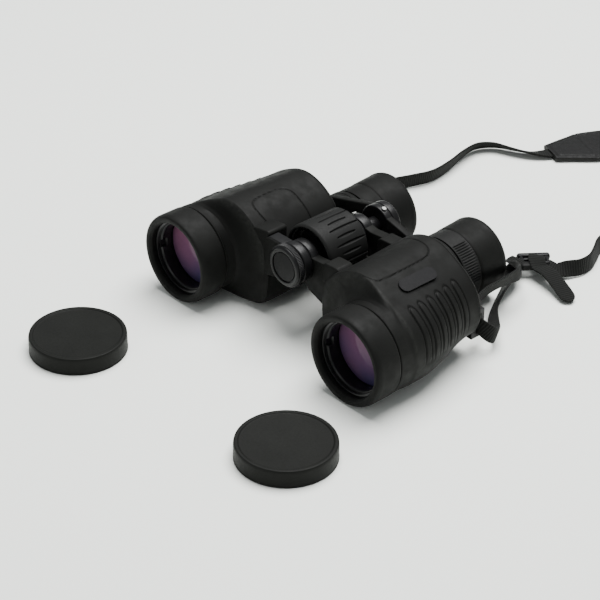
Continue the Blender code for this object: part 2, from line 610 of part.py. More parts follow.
def add_tripod_cover(frame, materials):
    """The screw-in cover of the tripod socket: threaded stud, knurled cover and inset disc."""
    stud = turned([(0, 22.6 * MM), (STUD_R, 22.6 * MM), (STUD_R, 34.2 * MM), (STUD_R - 0.8 * MM, 35.0 * MM),
                   (0, 35.0 * MM)], 14)
    make_object("tripod_cover_stud", stud, materials["steel"], frame, HINGE_PLACE)
    face_r = 9.2 * MM
    face = turned([
        (0, 21.9 * MM), (face_r, 21.9 * MM), (face_r, COVER_FRONT_Y), (11.0 * MM, COVER_FRONT_Y),
        (11.9 * MM, 21.4 * MM), (11.9 * MM, COVER_BACK_Y - 0.2 * MM), (11.5 * MM, COVER_BACK_Y),
        (STUD_R + GAP, COVER_BACK_Y), (STUD_R + GAP, 22.4 * MM), (0, 22.4 * MM)], 24)
    make_object("tripod_cover", face, materials["hard_plastic"], frame, HINGE_PLACE)
    knurl = ribbed_ring(12.2 * MM, COVER_R - 0.35 * MM, COVER_R, 21.6 * MM, COVER_BACK_Y, 18)
    make_object("tripod_cover_knurl", knurl, materials["hard_plastic"], frame, HINGE_PLACE)
    disc = rod(face_r - GAP, 21.0 * MM, 21.6 * MM, 0.15 * MM, 20)
    make_object("tripod_cover_disc", disc, materials["badge"], frame, HINGE_PLACE)


def add_caps(frame, materials):
    """Push-on caps with a raised rim, standing on their mouths."""
    for name, (x, y) in CAP_PLACES.items():
        top = CAP_HEIGHT
        profile = [
            (0, top - 0.5 * MM), (CAP_R - 2.6 * MM, top - 0.5 * MM), (CAP_R - 2.0 * MM, top),
            (CAP_R - 1.0 * MM, top), (CAP_R - 0.3 * MM, top - 0.8 * MM), (CAP_R, 0.4 * MM),
            (CAP_R - 0.2 * MM, 0), (CAP_R - CAP_WALL, 0), (CAP_R - CAP_WALL, top - 2.2 * MM),
            (0, top - 2.2 * MM)]
        cap = make_object(name, turned(profile, 28), materials["cap_plastic"], frame, (x, y, 0))
        cap.rotation_euler = (math.radians(90), 0, 0)


def open_curve(points, spacing):
    """Points about one spacing apart on a smooth curve through the route, with its tilt."""
    route = [Vector(p) for p in points]
    ends = [2 * route[0] - route[1]] + route + [2 * route[-1] - route[-2]]
    result = []
    for p0, p1, p2, p3 in zip(ends, ends[1:], ends[2:], ends[3:]):
        steps = max(1, round((p2 - p1).xyz.length / spacing))
        for step in range(steps):
            t = step / steps
            result.append(0.5 * (2 * p1 + (p2 - p0) * t + (2 * p0 - 5 * p1 + 4 * p2 - p3) * t ** 2
                                 + (3 * p1 - p0 - 3 * p2 + p3) * t ** 3))
    return result + [route[-1]]


def ribbon(route, width_at, thickness, spacing=9.0):
    """A flat strip along a route of (x, y, z, tilt), in millimetres and degrees."""
    path = open_curve(route, spacing)
    rows = []
    for i, point in enumerate(path):
        before, after = path[max(i - 1, 0)], path[min(i + 1, len(path) - 1)]
        along = (after.xyz - before.xyz).normalized()
        level = along.cross(Vector((0, 0, 1))).normalized()
        tilt = math.radians(point.w)
        across = (level * math.cos(tilt) + level.cross(along) * math.sin(tilt)).normalized()
        normal = across.cross(along).normalized()
        width = width_at(i / (len(path) - 1))
        half = across * 0.5 * width
        lift = normal * 0.5 * thickness
        rest_height = 0.5 * (width * abs(across.z) + thickness * abs(normal.z)) + FLOOR_GAP
        centre = Vector((point.x * MM, point.y * MM, max(point.z * MM, rest_height)))
        rows.append([centre - half - lift, centre + half - lift, centre + half + lift, centre - half + lift])
    return lofted_solid(rows)


def webbing_width(_part):
    return WEBBING_WIDTH


def pad_width(part):
    """The pad's width along its length: narrow ends that open out to the full width."""
    reach = min(part, 1 - part) / 0.16
    return WEBBING_WIDTH + (PAD_WIDTH - WEBBING_WIDTH) * smooth_step(reach)


def add_strap(near_frame, far_frame, materials):
    """Webbing from both lugs, the ladder buckle with its loose tail, and the neck pad."""
    pieces = (("strap_near_loop", NEAR_LOOP_ROUTE, near_frame),
              ("strap_near_run", NEAR_RUN_ROUTE, near_frame),
              ("strap_tail", TAIL_ROUTE, near_frame),
              ("strap_far_end", FAR_END_ROUTE, far_frame),
              ("strap_far_run", FAR_RUN_ROUTE, near_frame))
    for name, route, parent in pieces:
        make_object(name, ribbon(route, webbing_width, WEBBING_THICKNESS), materials["webbing"], parent)
    make_object("neck_pad", ribbon(PAD_ROUTE, pad_width, PAD_THICKNESS, 14.0), materials["leatherette"],
                near_frame)
    add_buckle(near_frame, materials)


def add_buckle(frame, materials):
    """A ladder-lock buckle: a frame with two webbing slots either side of its middle bar."""
    heading = Matrix.Rotation(BUCKLE_HEADING, 3, "Z")
    buckle = make_object("strap_buckle", slab(18 * MM, 11 * MM, 3.6 * MM), materials["hard_plastic"], frame,
                         BUCKLE_PLACE)
    buckle.rotation_euler = (0, 0, BUCKLE_HEADING)
    for label, shift in (("far", 2.7 * MM), ("near", -2.7 * MM)):
        slot = make_object("buckle_" + label + "_slot_tool", slab(12 * MM, 2.4 * MM, 12 * MM), None, frame,
                           BUCKLE_PLACE + heading @ Vector((0, shift, 0)))
        slot.rotation_euler = (0, 0, BUCKLE_HEADING)
        add_tool(buckle, "DIFFERENCE", slot)


def build():
    clear_scene()
    materials = make_materials()
    layout = make_empty("layout", -CENTRE, None)
    fold_axis = make_empty("fold_axis", HINGE_PLACE, layout)
    for side, frame in ((1, layout), (-1, fold_axis)):
        add_housing(side, frame, materials)
        add_rear_cover(side, frame, materials)
        add_objective(side, frame, materials)
        add_prisms(side, frame, materials)
        add_bridge(side, frame, materials)
        add_eyepiece(side, frame, materials)
        add_strap_lug(side, frame, materials)
    add_name_plate(layout, materials)
    add_hinge_line(layout, materials)
    add_screws(layout, materials)
    add_tripod_cover(layout, materials)
    add_caps(layout, materials)
    add_strap(layout, fold_axis, materials)


build()
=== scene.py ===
"""Looks of the Porro prism binoculars: rubber armour, coated lenses, loose caps and a neck strap.

The visual pieces are laid out in millimetres from the plane of the objective rims (y = 0), the hinge
line (x = 0) and the table (z = 0), and are then moved to where the frame has them. side = +1 is the
user's left half (+X), the near one; side = -1 is the half that folds.
"""

import math

import bmesh
import bpy
import numpy as np
from mathutils import Matrix, Vector


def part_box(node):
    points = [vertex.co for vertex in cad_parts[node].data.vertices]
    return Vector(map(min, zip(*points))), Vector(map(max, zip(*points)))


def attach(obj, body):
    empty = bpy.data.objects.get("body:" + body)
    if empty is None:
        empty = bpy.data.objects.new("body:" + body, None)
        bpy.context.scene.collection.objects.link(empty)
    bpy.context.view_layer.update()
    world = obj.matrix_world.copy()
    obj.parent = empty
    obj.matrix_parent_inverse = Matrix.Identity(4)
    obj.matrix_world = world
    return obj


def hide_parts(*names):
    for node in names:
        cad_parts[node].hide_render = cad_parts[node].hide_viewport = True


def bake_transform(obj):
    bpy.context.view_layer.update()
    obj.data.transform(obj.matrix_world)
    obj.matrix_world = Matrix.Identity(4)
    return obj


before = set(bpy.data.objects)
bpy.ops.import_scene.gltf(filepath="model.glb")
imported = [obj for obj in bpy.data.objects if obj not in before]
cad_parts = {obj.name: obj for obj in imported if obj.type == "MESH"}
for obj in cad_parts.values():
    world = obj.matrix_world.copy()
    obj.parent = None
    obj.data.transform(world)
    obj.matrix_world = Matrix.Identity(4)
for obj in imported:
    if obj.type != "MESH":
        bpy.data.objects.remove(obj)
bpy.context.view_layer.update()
MM = 0.001
NAMES = {1: "left", -1: "right"}


def box_mm(node):
    low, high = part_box(node)
    return Vector(low) / MM, Vector(high) / MM


def centre_of(node):
    low, high = box_mm(node)
    return (low + high) / 2


# Places and sizes that drive the rest, read from the frame
WHEEL_CENTRE = centre_of("focus_wheel_grip")
BUMPER_LOW, BUMPER_HIGH = box_mm("left_objective_bumper")
ORIGIN = Vector((WHEEL_CENTRE.x, BUMPER_LOW.y, 0.0))
HINGE_Z = WHEEL_CENTRE.z
OBJECTIVE = (BUMPER_LOW + BUMPER_HIGH) / 2 - ORIGIN
BARREL_R = (BUMPER_HIGH.z - BUMPER_LOW.z) / 2
EYE = centre_of("left_eyecup") - ORIGIN
EYECUP_LOW, EYECUP_HIGH = box_mm("left_eyecup")
EYECUP_R = (EYECUP_HIGH.z - EYECUP_LOW.z) / 2
EYECUP_END_Y = EYECUP_HIGH.y - ORIGIN.y
CAP_LOW, CAP_HIGH = box_mm("left_objective_cap")
CAP_R = (CAP_HIGH.x - CAP_LOW.x) / 2
CAP_HEIGHT = CAP_HIGH.z
HINGE = (0.0, HINGE_Z)


# ---------------- camera, light and floor

def add_camera():
    """The photograph's viewpoint, as fitted to it."""
    data = bpy.data.cameras.new("camera")
    data.lens = 123.0
    data.sensor_width = 36.0
    camera = bpy.data.objects.new("camera", data)
    place = Vector((708.24, -651.05, 633.16)) * MM
    target = Vector((-29.57, 33.07, 0.0)) * MM
    roll = math.radians(0.44)
    facing = (place - target).to_track_quat("Z", "Y").to_matrix().to_4x4()
    camera.matrix_world = Matrix.Translation(place) @ facing @ Matrix.Rotation(roll, 4, "Z")
    bpy.context.scene.collection.objects.link(camera)
    bpy.context.scene.camera = camera


def add_light(name, place, target, size, watts):
    data = bpy.data.lights.new(name, "AREA")
    data.shape = "DISK"
    data.size = size
    data.energy = watts
    light = bpy.data.objects.new(name, data)
    light.location = place
    light.rotation_euler = (Vector(place) - Vector(target)).to_track_quat("Z", "Y").to_euler()
    bpy.context.scene.collection.objects.link(light)


def add_studio():
    world = bpy.data.worlds.new("studio")
    bpy.context.scene.world = world
    world.use_nodes = True
    background = world.node_tree.nodes["Background"]
    background.inputs["Color"].default_value = (0.93, 0.97, 1.0, 1.0)
    background.inputs["Strength"].default_value = 0.34
    add_light("top_softbox", (-0.1, 0.45, 1.6), (0, 0.05, 0), 1.5, 78.0)
    add_light("side_softbox", (1.3, 0.5, 0.9), (0, 0.03, 0.02), 0.8, 0.8)
    add_light("front_fill", (0.1, -1.5, 0.8), (0, 0.03, 0.02), 0.9, 3.2)
    mesh = bpy.data.meshes.new("table")
    reach = 6.0
    corners = [(-reach, -reach, 0), (reach, -reach, 0), (reach, reach, 0), (-reach, reach, 0)]
    mesh.from_pydata(corners, [], [(0, 1, 2, 3)])
    table = bpy.data.objects.new("table", mesh)
    table.location.z = -0.0002
    mesh.materials.append(plain_material("table_paper", (0.905, 0.930, 0.880), 0.9))
    bpy.context.scene.collection.objects.link(table)


# ---------------- node materials

class Nodes:
    """A material's node tree, with short calls for the nodes that the materials share."""

    def __init__(self, name):
        self.material = bpy.data.materials.new(name)
        self.material.use_nodes = True
        self.tree = self.material.node_tree
        self.shader = self.tree.nodes["Principled BSDF"]
        self.place = self.add("ShaderNodeTexCoord").outputs["Object"]

    def add(self, kind, **settings):
        node = self.tree.nodes.new(kind)
        for key, value in settings.items():
            setattr(node, key, value)
        return node

    def link(self, source, target):
        self.tree.links.new(source, target)

    def feed(self, socket, value):
        """Give a socket a number, a colour or another node's output."""
        if isinstance(value, tuple):
            socket.default_value = (*value, 1.0)
        elif isinstance(value, (int, float)):
            socket.default_value = value
        else:
            self.link(value, socket)

    def fill(self, node, **sockets):
        """Feed a node's sockets by name, with _ for a space."""
        for name, value in sockets.items():
            self.feed(node.inputs[name.replace("_", " ")], value)
        return node

    def set(self, **sockets):
        self.fill(self.shader, **sockets)

    def noise(self, per_metre, detail=3.0):
        node = self.add("ShaderNodeTexNoise")
        self.fill(node, Scale=per_metre, Detail=detail, Roughness=0.55, Vector=self.place)
        return node.outputs["Fac"]

    def cells(self, per_metre):
        node = self.add("ShaderNodeTexVoronoi", feature="DISTANCE_TO_EDGE")
        return self.fill(node, Scale=per_metre, Vector=self.place).outputs["Distance"]

    def spread(self, value, low, high, start=0.0, end=1.0):
        """Map start to end onto low to high."""
        node = self.add("ShaderNodeMapRange")
        self.fill(node, From_Min=start, From_Max=end, To_Min=low, To_Max=high, Value=value)
        return node.outputs["Result"]

    def math(self, operation, first, second=0.5):
        node = self.add("ShaderNodeMath", operation=operation)
        self.feed(node.inputs[0], first)
        self.feed(node.inputs[1], second)
        return node.outputs["Value"]

    def mix(self, part, first, second):
        node = self.add("ShaderNodeMix", data_type="RGBA")
        for index, value in ((0, part), (6, first), (7, second)):
            self.feed(node.inputs[index], value)
        return node.outputs[2]

    def attribute(self, name):
        return self.add("ShaderNodeAttribute", attribute_name=name).outputs["Fac"]

    def bump(self, height, distance, strength=1.0):
        """Bumps add up: each one is laid over the ones before it."""
        node = self.fill(self.add("ShaderNodeBump"), Strength=strength, Distance=distance, Height=height)
        before = self.shader.inputs["Normal"].links
        if before:
            self.link(before[0].from_socket, node.inputs["Normal"])
        self.link(node.outputs["Normal"], self.shader.inputs["Normal"])


def plain_material(name, colour, roughness):
    nodes = Nodes(name)
    nodes.set(Base_Color=colour, Roughness=roughness)
    return nodes.material


def armour_material():
    """Matte rubber: fine pebbled skin, faint cloudy bloom and a painted highlight, paler in patches, along
    the housing's front crest.
    """
    nodes = Nodes("armour_rubber")
    cloud = nodes.spread(nodes.noise(38, 4), 0, 1, 0.35, 0.68)
    base = nodes.mix(cloud, (0.0052, 0.0054, 0.0049), (0.0074, 0.0077, 0.0070))
    # Painted highlight: where the housing's per-point crest attribute is set, the colour turns paler in
    # noisy patches
    patches = nodes.spread(nodes.noise(420), 0.4, 1.0, 0.4, 0.65)
    painted_highlight = nodes.math("MULTIPLY", nodes.attribute("crest_highlight"), patches)
    nodes.set(Base_Color=nodes.mix(painted_highlight, base, (0.024, 0.025, 0.023)), Specular_IOR_Level=0.09,
              Roughness=nodes.spread(nodes.noise(150), 0.52, 0.68, 0.35, 0.65))
    nodes.bump(nodes.cells(1500), 0.00010, 0.35)
    nodes.bump(nodes.noise(2600, 2), 0.00005, 0.35)
    return nodes.material


def plastic_material(name, colour, roughness, grain, shine=0.25):
    """Moulded hard plastic with a fine spark-eroded grain."""
    nodes = Nodes(name)
    cloud = nodes.spread(nodes.noise(60), 0, 1, 0.35, 0.7)
    pale = tuple(1.3 * c for c in colour)
    nodes.set(Base_Color=nodes.mix(cloud, colour, pale), Specular_IOR_Level=shine,
              Roughness=nodes.spread(nodes.noise(900), roughness - 0.05, roughness + 0.08, 0.35, 0.65))
    if grain:
        nodes.bump(nodes.noise(3800, 2), grain, 0.5)
    return nodes.material


def metal_material(name, colour, roughness, metallic):
    """Turned metal: faint rings follow one another along Y, the axis that every turned piece has."""
    nodes = Nodes(name)
    split = nodes.add("ShaderNodeSeparateXYZ")
    nodes.link(nodes.place, split.inputs[0])
    rings = nodes.add("ShaderNodeTexNoise", noise_dimensions="1D")
    rings = nodes.fill(rings, Scale=5200, Detail=2, W=split.outputs["Y"]).outputs["Fac"]
    nodes.set(Base_Color=nodes.mix(nodes.noise(180), colour, tuple(1.35 * c for c in colour)),
              Roughness=nodes.spread(rings, roughness - 0.06, roughness + 0.1),
              Metallic=metallic, Specular_IOR_Level=0.3)
    nodes.bump(rings, 0.00002, 0.5)
    return nodes.material


def lens_material():
    """Coated glass with the coating's reflections painted into its colour: magenta high up on the lens,
    turning violet blue lower down.
    """
    nodes = Nodes("coated_lens")
    split = nodes.add("ShaderNodeSeparateXYZ")
    nodes.link(nodes.place, split.inputs[0])
    # Painted reflection: the colour turns from violet blue to magenta with height, with some noise, as the
    # coating's reflected tints would
    height = nodes.spread(split.outputs["Z"], 0, 1, 0.008, 0.046)
    reflection_tint = nodes.math("ADD", height, nodes.spread(nodes.noise(30, 1), -0.25, 0.25, 0.3, 0.7))
    nodes.set(Base_Color=nodes.mix(reflection_tint, (0.048, 0.046, 0.110), (0.175, 0.066, 0.108)), Roughness=0.06,
              IOR=1.6, Specular_IOR_Level=0.05, Coat_Weight=0.02, Coat_Roughness=0.03,
              Coat_Tint=(0.95, 0.6, 0.9))
    return nodes.material


def webbing_material():
    """Flat woven tape: cross ribs along its length and lengthwise threads, from the strip's own UVs, with
    painted shade darkening the weave's low places.
    """
    nodes = Nodes("strap_webbing")
    split = nodes.add("ShaderNodeSeparateXYZ")
    nodes.link(nodes.add("ShaderNodeUVMap", uv_map="weave").outputs["UV"], split.inputs[0])
    ribs = nodes.math("SINE", nodes.math("MULTIPLY", split.outputs["Y"], math.tau / 1.5))
    threads = nodes.math("SINE", nodes.math("MULTIPLY", split.outputs["X"], math.tau / 1.1))
    weave = nodes.math("MULTIPLY", ribs, nodes.spread(threads, 0.45, 1.0, -1.0, 1.0))
    fuzz = nodes.noise(2600)
    height = nodes.math("ADD", nodes.spread(weave, 0, 1, -1, 1), nodes.math("MULTIPLY", fuzz, 0.35))
    # Painted shade: the colour darkens where the weave lies low
    shade = nodes.spread(height, 0, 1, 0.15, 1.2)
    nodes.set(Base_Color=nodes.mix(shade, (0.0025, 0.0027, 0.0025), (0.0100, 0.0107, 0.0094)),
              Roughness=nodes.spread(fuzz, 0.72, 0.92, 0.35, 0.65), Specular_IOR_Level=0.12,
              Sheen_Weight=0.03, Sheen_Roughness=0.5)
    nodes.bump(height, 0.00035, 0.8)
    return nodes.material


def leatherette_material():
    """Grained leathercloth: creased cells over a soft crown, with painted shade darkening the creases."""
    nodes = Nodes("pad_leatherette")
    warp = nodes.noise(260)
    grain = nodes.math("ADD", nodes.cells(900), nodes.math("MULTIPLY", warp, 0.08))
    creases = nodes.spread(grain, 0, 1, 0.0, 0.14)
    # Painted shade: the colour darkens in the creases between the cells
    nodes.set(Base_Color=nodes.mix(creases, (0.003, 0.003, 0.003), (0.0065, 0.0065, 0.0063)),
              Roughness=nodes.spread(nodes.noise(300), 0.42, 0.6, 0.35, 0.65), Specular_IOR_Level=0.15)
    nodes.bump(creases, 0.00018, 0.6)
    nodes.bump(warp, 0.0002, 0.3)
    return nodes.material


def make_materials():
    return {
        "armour": armour_material(),
        "hard_plastic": plastic_material("satin_plastic", (0.0055, 0.0055, 0.0058), 0.33, 0.0, 0.2),
        "rough_armour": plastic_material("grip_rubber", (0.0072, 0.0074, 0.0070), 0.55, 0.00003, 0.12),
        "cap_plastic": plastic_material("cap_plastic", (0.0058, 0.0062, 0.0053), 0.52, 0.00004, 0.09),
        "badge": plastic_material("badge_plastic", (0.003, 0.003, 0.0034), 0.42, 0.0, 0.1),
        "black_metal": metal_material("black_metal", (0.007, 0.007, 0.0075), 0.3, 0.2),
        "steel": metal_material("plated_steel", (0.16, 0.16, 0.155), 0.25, 1.0),
        "glass": lens_material(),
        "clear_glass": plastic_material("prism_glass", (0.55, 0.6, 0.6), 0.08, 0.0),
        "webbing": webbing_material(),
        "leatherette": leatherette_material(),
    }


MATERIALS = make_materials()
# The record's slot for each material: its own name, but for these three
SLOTS = {name: name for name in MATERIALS}
SLOTS.update(rough_armour="armour", glass="coated_glass", clear_glass="prism_glass")


# ---------------- mesh helpers

def add_piece(name, points, faces, material, body, replaces=(), sharp=30.0, crest_highlight=None, uvs=None):
    """A mesh piece from layout millimetres. It may ride on a body and stand for CAD nodes."""
    mesh = bpy.data.meshes.new(name)
    world = (np.asarray(points, float) + np.array(ORIGIN)) * MM
    mesh.from_pydata(world.tolist(), [], [tuple(int(i) for i in face) for face in faces])
    bm = bmesh.new()
    bm.from_mesh(mesh)
    bmesh.ops.recalc_face_normals(bm, faces=bm.faces)
    bm.to_mesh(mesh)
    bm.free()
    mesh.shade_smooth()
    mesh.set_sharp_from_angle(angle=math.radians(sharp))
    # The painted highlight, per point, which the armour material reads as paler colour
    if crest_highlight is not None:
        painted_highlight = mesh.attributes.new("crest_highlight", "FLOAT", "POINT")
        painted_highlight.data.foreach_set("value", np.asarray(crest_highlight, np.float32))
    if uvs is not None:
        layer = mesh.uv_layers.new(name="weave")
        for loop in mesh.loops:
            layer.data[loop.index].uv = uvs[loop.vertex_index]
    mesh.materials.append(MATERIALS[material])
    piece = bpy.data.objects.new(name, mesh)
    bpy.context.scene.collection.objects.link(piece)
    if body:
        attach(piece, body)
    if replaces:
        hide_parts(*replaces)
    return piece


def rounded(profile, steps=4):
    """Round the corners of a closed profile of (radius, y) or (radius, y, corner radius)."""
    points = []
    count = len(profile)
    for i, corner in enumerate(profile):
        here = np.array(corner[:2], float)
        size = corner[2] if len(corner) > 2 else 0.0
        before = np.array(profile[i - 1][:2], float) - here
        after = np.array(profile[(i + 1) % count][:2], float) - here
        reach = min(size, 0.45 * np.hypot(*before), 0.45 * np.hypot(*after))
        if reach <= 1e-6:
            points.append(here)
            continue
        start = here + before / np.hypot(*before) * reach
        end = here + after / np.hypot(*after) * reach
        for k in range(steps + 1):
            t = k / steps
            points.append((1 - t) ** 2 * start + 2 * t * (1 - t) * here + t ** 2 * end)
    return np.array(points)


def turned_points(profile, segments, change=None):
    """Rows of points about the Y axis. change(radii, angles, ys) may vary the radius round the axis."""
    angles = np.arange(segments)[None, :] * math.tau / segments
    radii, ys = (np.repeat(profile[:, k:k + 1], segments, axis=1) for k in (0, 1))
    if change:
        radii = change(radii, angles, ys)
    return np.stack([radii * np.cos(angles), ys, radii * np.sin(angles)], -1)


def grid_faces(rows, columns, closed_rows=True):
    """Quads over a grid of points that is closed round its columns, and perhaps over its rows."""
    faces = []
    for i in range(rows if closed_rows else rows - 1):
        first, second = i * columns, (i + 1) % rows * columns
        for j in range(columns):
            k = (j + 1) % columns
            faces.append((first + j, first + k, second + k, second + j))
    return faces


def open_tube_faces(rows, columns):
    """Quads over a grid that is closed round its columns, with a flat end at each side."""
    ends = [tuple(range(columns))[::-1], tuple(range((rows - 1) * columns, rows * columns))]
    return grid_faces(rows, columns, closed_rows=False) + ends


def add_turned(name, profile, material, body, centre=(0.0, 0.0), replaces=(), segments=128, change=None,
               sharp=30.0, steps=4):
    """A solid turned about an axis along Y at centre (x, z). A profile may touch the axis."""
    points = rounded(profile, steps)
    rows = turned_points(points, segments, change)
    rows[..., 0] += centre[0]
    rows[..., 2] += centre[1]
    faces = []
    on_axis = points[:, 0] < 1e-4
    count = len(points)
    for i in range(count):
        k = (i + 1) % count
        if on_axis[i] and on_axis[k]:
            continue
        for j in range(segments):
            m = (j + 1) % segments
            face = [i * segments + j, i * segments + m, k * segments + m, k * segments + j]
            if on_axis[i]:
                face = [i * segments, k * segments + m, k * segments + j]
            if on_axis[k]:
                face = [i * segments + j, i * segments + m, k * segments]
            faces.append(face)
    return add_piece(name, *used_only(rows.reshape(-1, 3), faces), material, body, replaces, sharp)


def add_lens(name, radius, front_y, bulge, middle_y, body, centre, node, segments, steps):
    """A lens with the same domed face to both sides of middle_y."""
    front = [(radius * k / steps, front_y + bulge * (k / steps) ** 2) for k in range(steps + 1)]
    back = [(r, 2 * middle_y - y) for r, y in reversed(front)]
    add_turned(name, front + back, "glass", body, centre, [node], segments, sharp=40)


def used_only(points, faces):
    """Drop the points that no face uses."""
    used = sorted({i for face in faces for i in face})
    place = {old: new for new, old in enumerate(used)}
    return points[used], [[place[i] for i in face] for face in faces]


def curve_through(points, count, closed=False):
    """Evenly spaced points on a smooth curve through the given ones, in any number of dimensions."""
    given = np.array(points, float)
    if closed:
        padded = np.vstack([given[-1:], given, given[:2]])
    else:
        padded = np.vstack([2 * given[0] - given[1], given, 2 * given[-1] - given[-2]])
    t = np.linspace(0, 1, 24, endpoint=False)[:, None]
    fine = []
    for p0, p1, p2, p3 in zip(padded, padded[1:], padded[2:], padded[3:]):
        fine.append(0.5 * (2 * p1 + (p2 - p0) * t + (2 * p0 - 5 * p1 + 4 * p2 - p3) * t ** 2
                           + (3 * p1 - p0 - 3 * p2 + p3) * t ** 3))
    fine = np.vstack(fine + [given[:1] if closed else given[-1:]])
    lengths = np.concatenate([[0], np.cumsum(np.linalg.norm(np.diff(fine, axis=0), axis=1))])
    stops = np.linspace(0, lengths[-1], count, endpoint=not closed)
    return np.stack([np.interp(stops, lengths, fine[:, k]) for k in range(fine.shape[1])], -1)


def smooth_step(value, start, end):
    """0 before start and 1 after end, with a smooth rise between."""
    t = np.clip((np.asarray(value, float) - start) / (end - start), 0, 1)
    return t * t * (3 - 2 * t)


def fraction(value, start, length):
    """How much of a stretch of this length has been passed."""
    return np.clip((value - start) / length, 0, 1)


def route_length(route):
    return sum(math.dist(a[:3], b[:3]) for a, b in zip(route, route[1:]))


# ---------------- prism housings

FRONT_OUTLINE = [
    (24.5, 9.0), (30.0, 4.2), (41.0, 1.8), (55.0, 0.7), (70.3, 0.1), (84.0, 3.6), (93.6, 13.0),
    (97.2, 27.0), (94.6, 39.0), (87.0, 47.2), (76.5, 53.2), (67.0, 58.2), (58.0, 61.4), (48.5, 61.2),
    (39.0, 57.4), (30.5, 51.0), (24.4, 43.5), (22.4, 34.0), (22.4, 21.0)]
REAR_OUTLINE = [
    (24.0, 11.0), (31.0, 6.6), (41.0, 4.8), (55.0, 4.4), (69.0, 6.0), (79.5, 10.5), (86.6, 18.0),
    (89.4, 28.0), (87.8, 38.0), (82.6, 46.0), (74.5, 52.6), (66.0, 57.4), (57.5, 60.8), (49.0, 61.4),
    (40.0, 59.0), (31.0, 53.4), (25.0, 45.5), (20.9, 34.0), (20.4, 21.0)]
COLUMNS = 384
HOUSING_FRONT_Y = 17.1
HOUSING_END_Y = 84.6
RIB_FIRST_Y = 37.6
RIB_PITCH = 7.2
RIB_COUNT = 6
RIB_TOP_Z = 50.6
RIB_FADE_Z = (20.0, 31.0)
RIB_HALF = 2.15         # from a rib's middle to the groove round it
RIB_RISE = 0.34
RIB_GROOVE = 0.62
SEAM_DEPTH = 0.55
LINE_WIDTH = 0.42       # of the grooves and the seam, from their middle
WAIST_R = 24.7
WAIST_SWELL = 1.9       # how much wider the waist is on its outer side and at the bumper
SHELL_WALL = 2.0
# Parting seams on the hump, as (x, y) seen from above: the near top panel, and the far half's inner panel
OUTER_SEAM = [
    (38.0, 27.0), (47.0, 27.6), (55.7, 28.9), (60.6, 31.0), (62.5, 34.5), (62.5, 48.6), (61.6, 66.0),
    (60.2, 72.6), (56.0, 76.2), (48.0, 77.4), (36.0, 77.6)]
INNER_SEAM = [
    (25.0, 38.6), (33.0, 38.0), (39.7, 37.0), (44.8, 38.0), (47.3, 42.0), (47.8, 49.0), (47.5, 57.3),
    (45.6, 62.6), (41.5, 65.2), (35.0, 65.8), (25.0, 66.4)]
FRONT_CURVE = curve_through(FRONT_OUTLINE, COLUMNS, closed=True)
REAR_CURVE = curve_through(REAR_OUTLINE, COLUMNS, closed=True)


def barrel_circle(radius):
    """A circle about the objective axis whose points pair up with the outline's."""
    start = FRONT_CURVE[0] - (OBJECTIVE.x, OBJECTIVE.z)
    angles = math.atan2(start[1], start[0]) + math.tau * np.arange(COLUMNS) / COLUMNS
    return np.stack([OBJECTIVE.x + radius * np.cos(angles), OBJECTIVE.z + radius * np.sin(angles)], -1)


def housing_section(y):
    """The housing's outline (x, z) at y: a waist behind the bumper that flares out to the prism hump."""
    hump = FRONT_CURVE + (REAR_CURVE - FRONT_CURVE) * smooth_step(y, 38, 84)
    part = np.interp(y, [17.0, 19.0, 21.0, 23.0, 24.8, 26.2, 27.4, 28.4, 29.3, 31.0],
                     [0.0, 0.0, 0.02, 0.07, 0.19, 0.41, 0.7, 0.93, 0.99, 1.0])
    centre = (OBJECTIVE.x, OBJECTIVE.z)
    outward = barrel_circle(1.0) - centre
    swell = np.maximum(smooth_step(outward[:, :1], -0.1, 0.7), 1 - smooth_step(y, 17.2, 19.4))
    waist = centre + outward * (WAIST_R + WAIST_SWELL * swell)
    return waist + (hump - waist) * part


def distance_to_path(x, y, path):
    """Distance of each (x, y) from a polyline."""
    best = np.full(x.shape, 1e9)
    for (ax, ay), (bx, by) in zip(path, path[1:]):
        dx, dy = bx - ax, by - ay
        t = np.clip(((x - ax) * dx + (y - ay) * dy) / (dx * dx + dy * dy), 0, 1)
        best = np.minimum(best, np.hypot(x - ax - t * dx, y - ay - t * dy))
    return best


def housing_relief(x, y, z, seam_route, seam_floor):
    """Height of the moulded detail over the plain housing: a parting seam and six grip ribs."""
    seam = distance_to_path(x, y, curve_through(seam_route, 60))
    relief = -SEAM_DEPTH * np.exp(-(seam / LINE_WIDTH) ** 2) * (z > seam_floor)
    outer = smooth_step(x, 70.0, 72.0)
    above = np.clip(z - (RIB_TOP_Z - 2.1), 0, None)
    for k in range(RIB_COUNT):
        reach = np.hypot(y - RIB_FIRST_Y - k * RIB_PITCH, above) - RIB_HALF
        body = RIB_RISE * smooth_step(-reach, -0.2, 0.8)
        groove = -RIB_GROOVE * np.exp(-(reach / LINE_WIDTH) ** 2)
        relief = relief + (body + groove) * outer * smooth_step(z, *RIB_FADE_Z)
    return relief


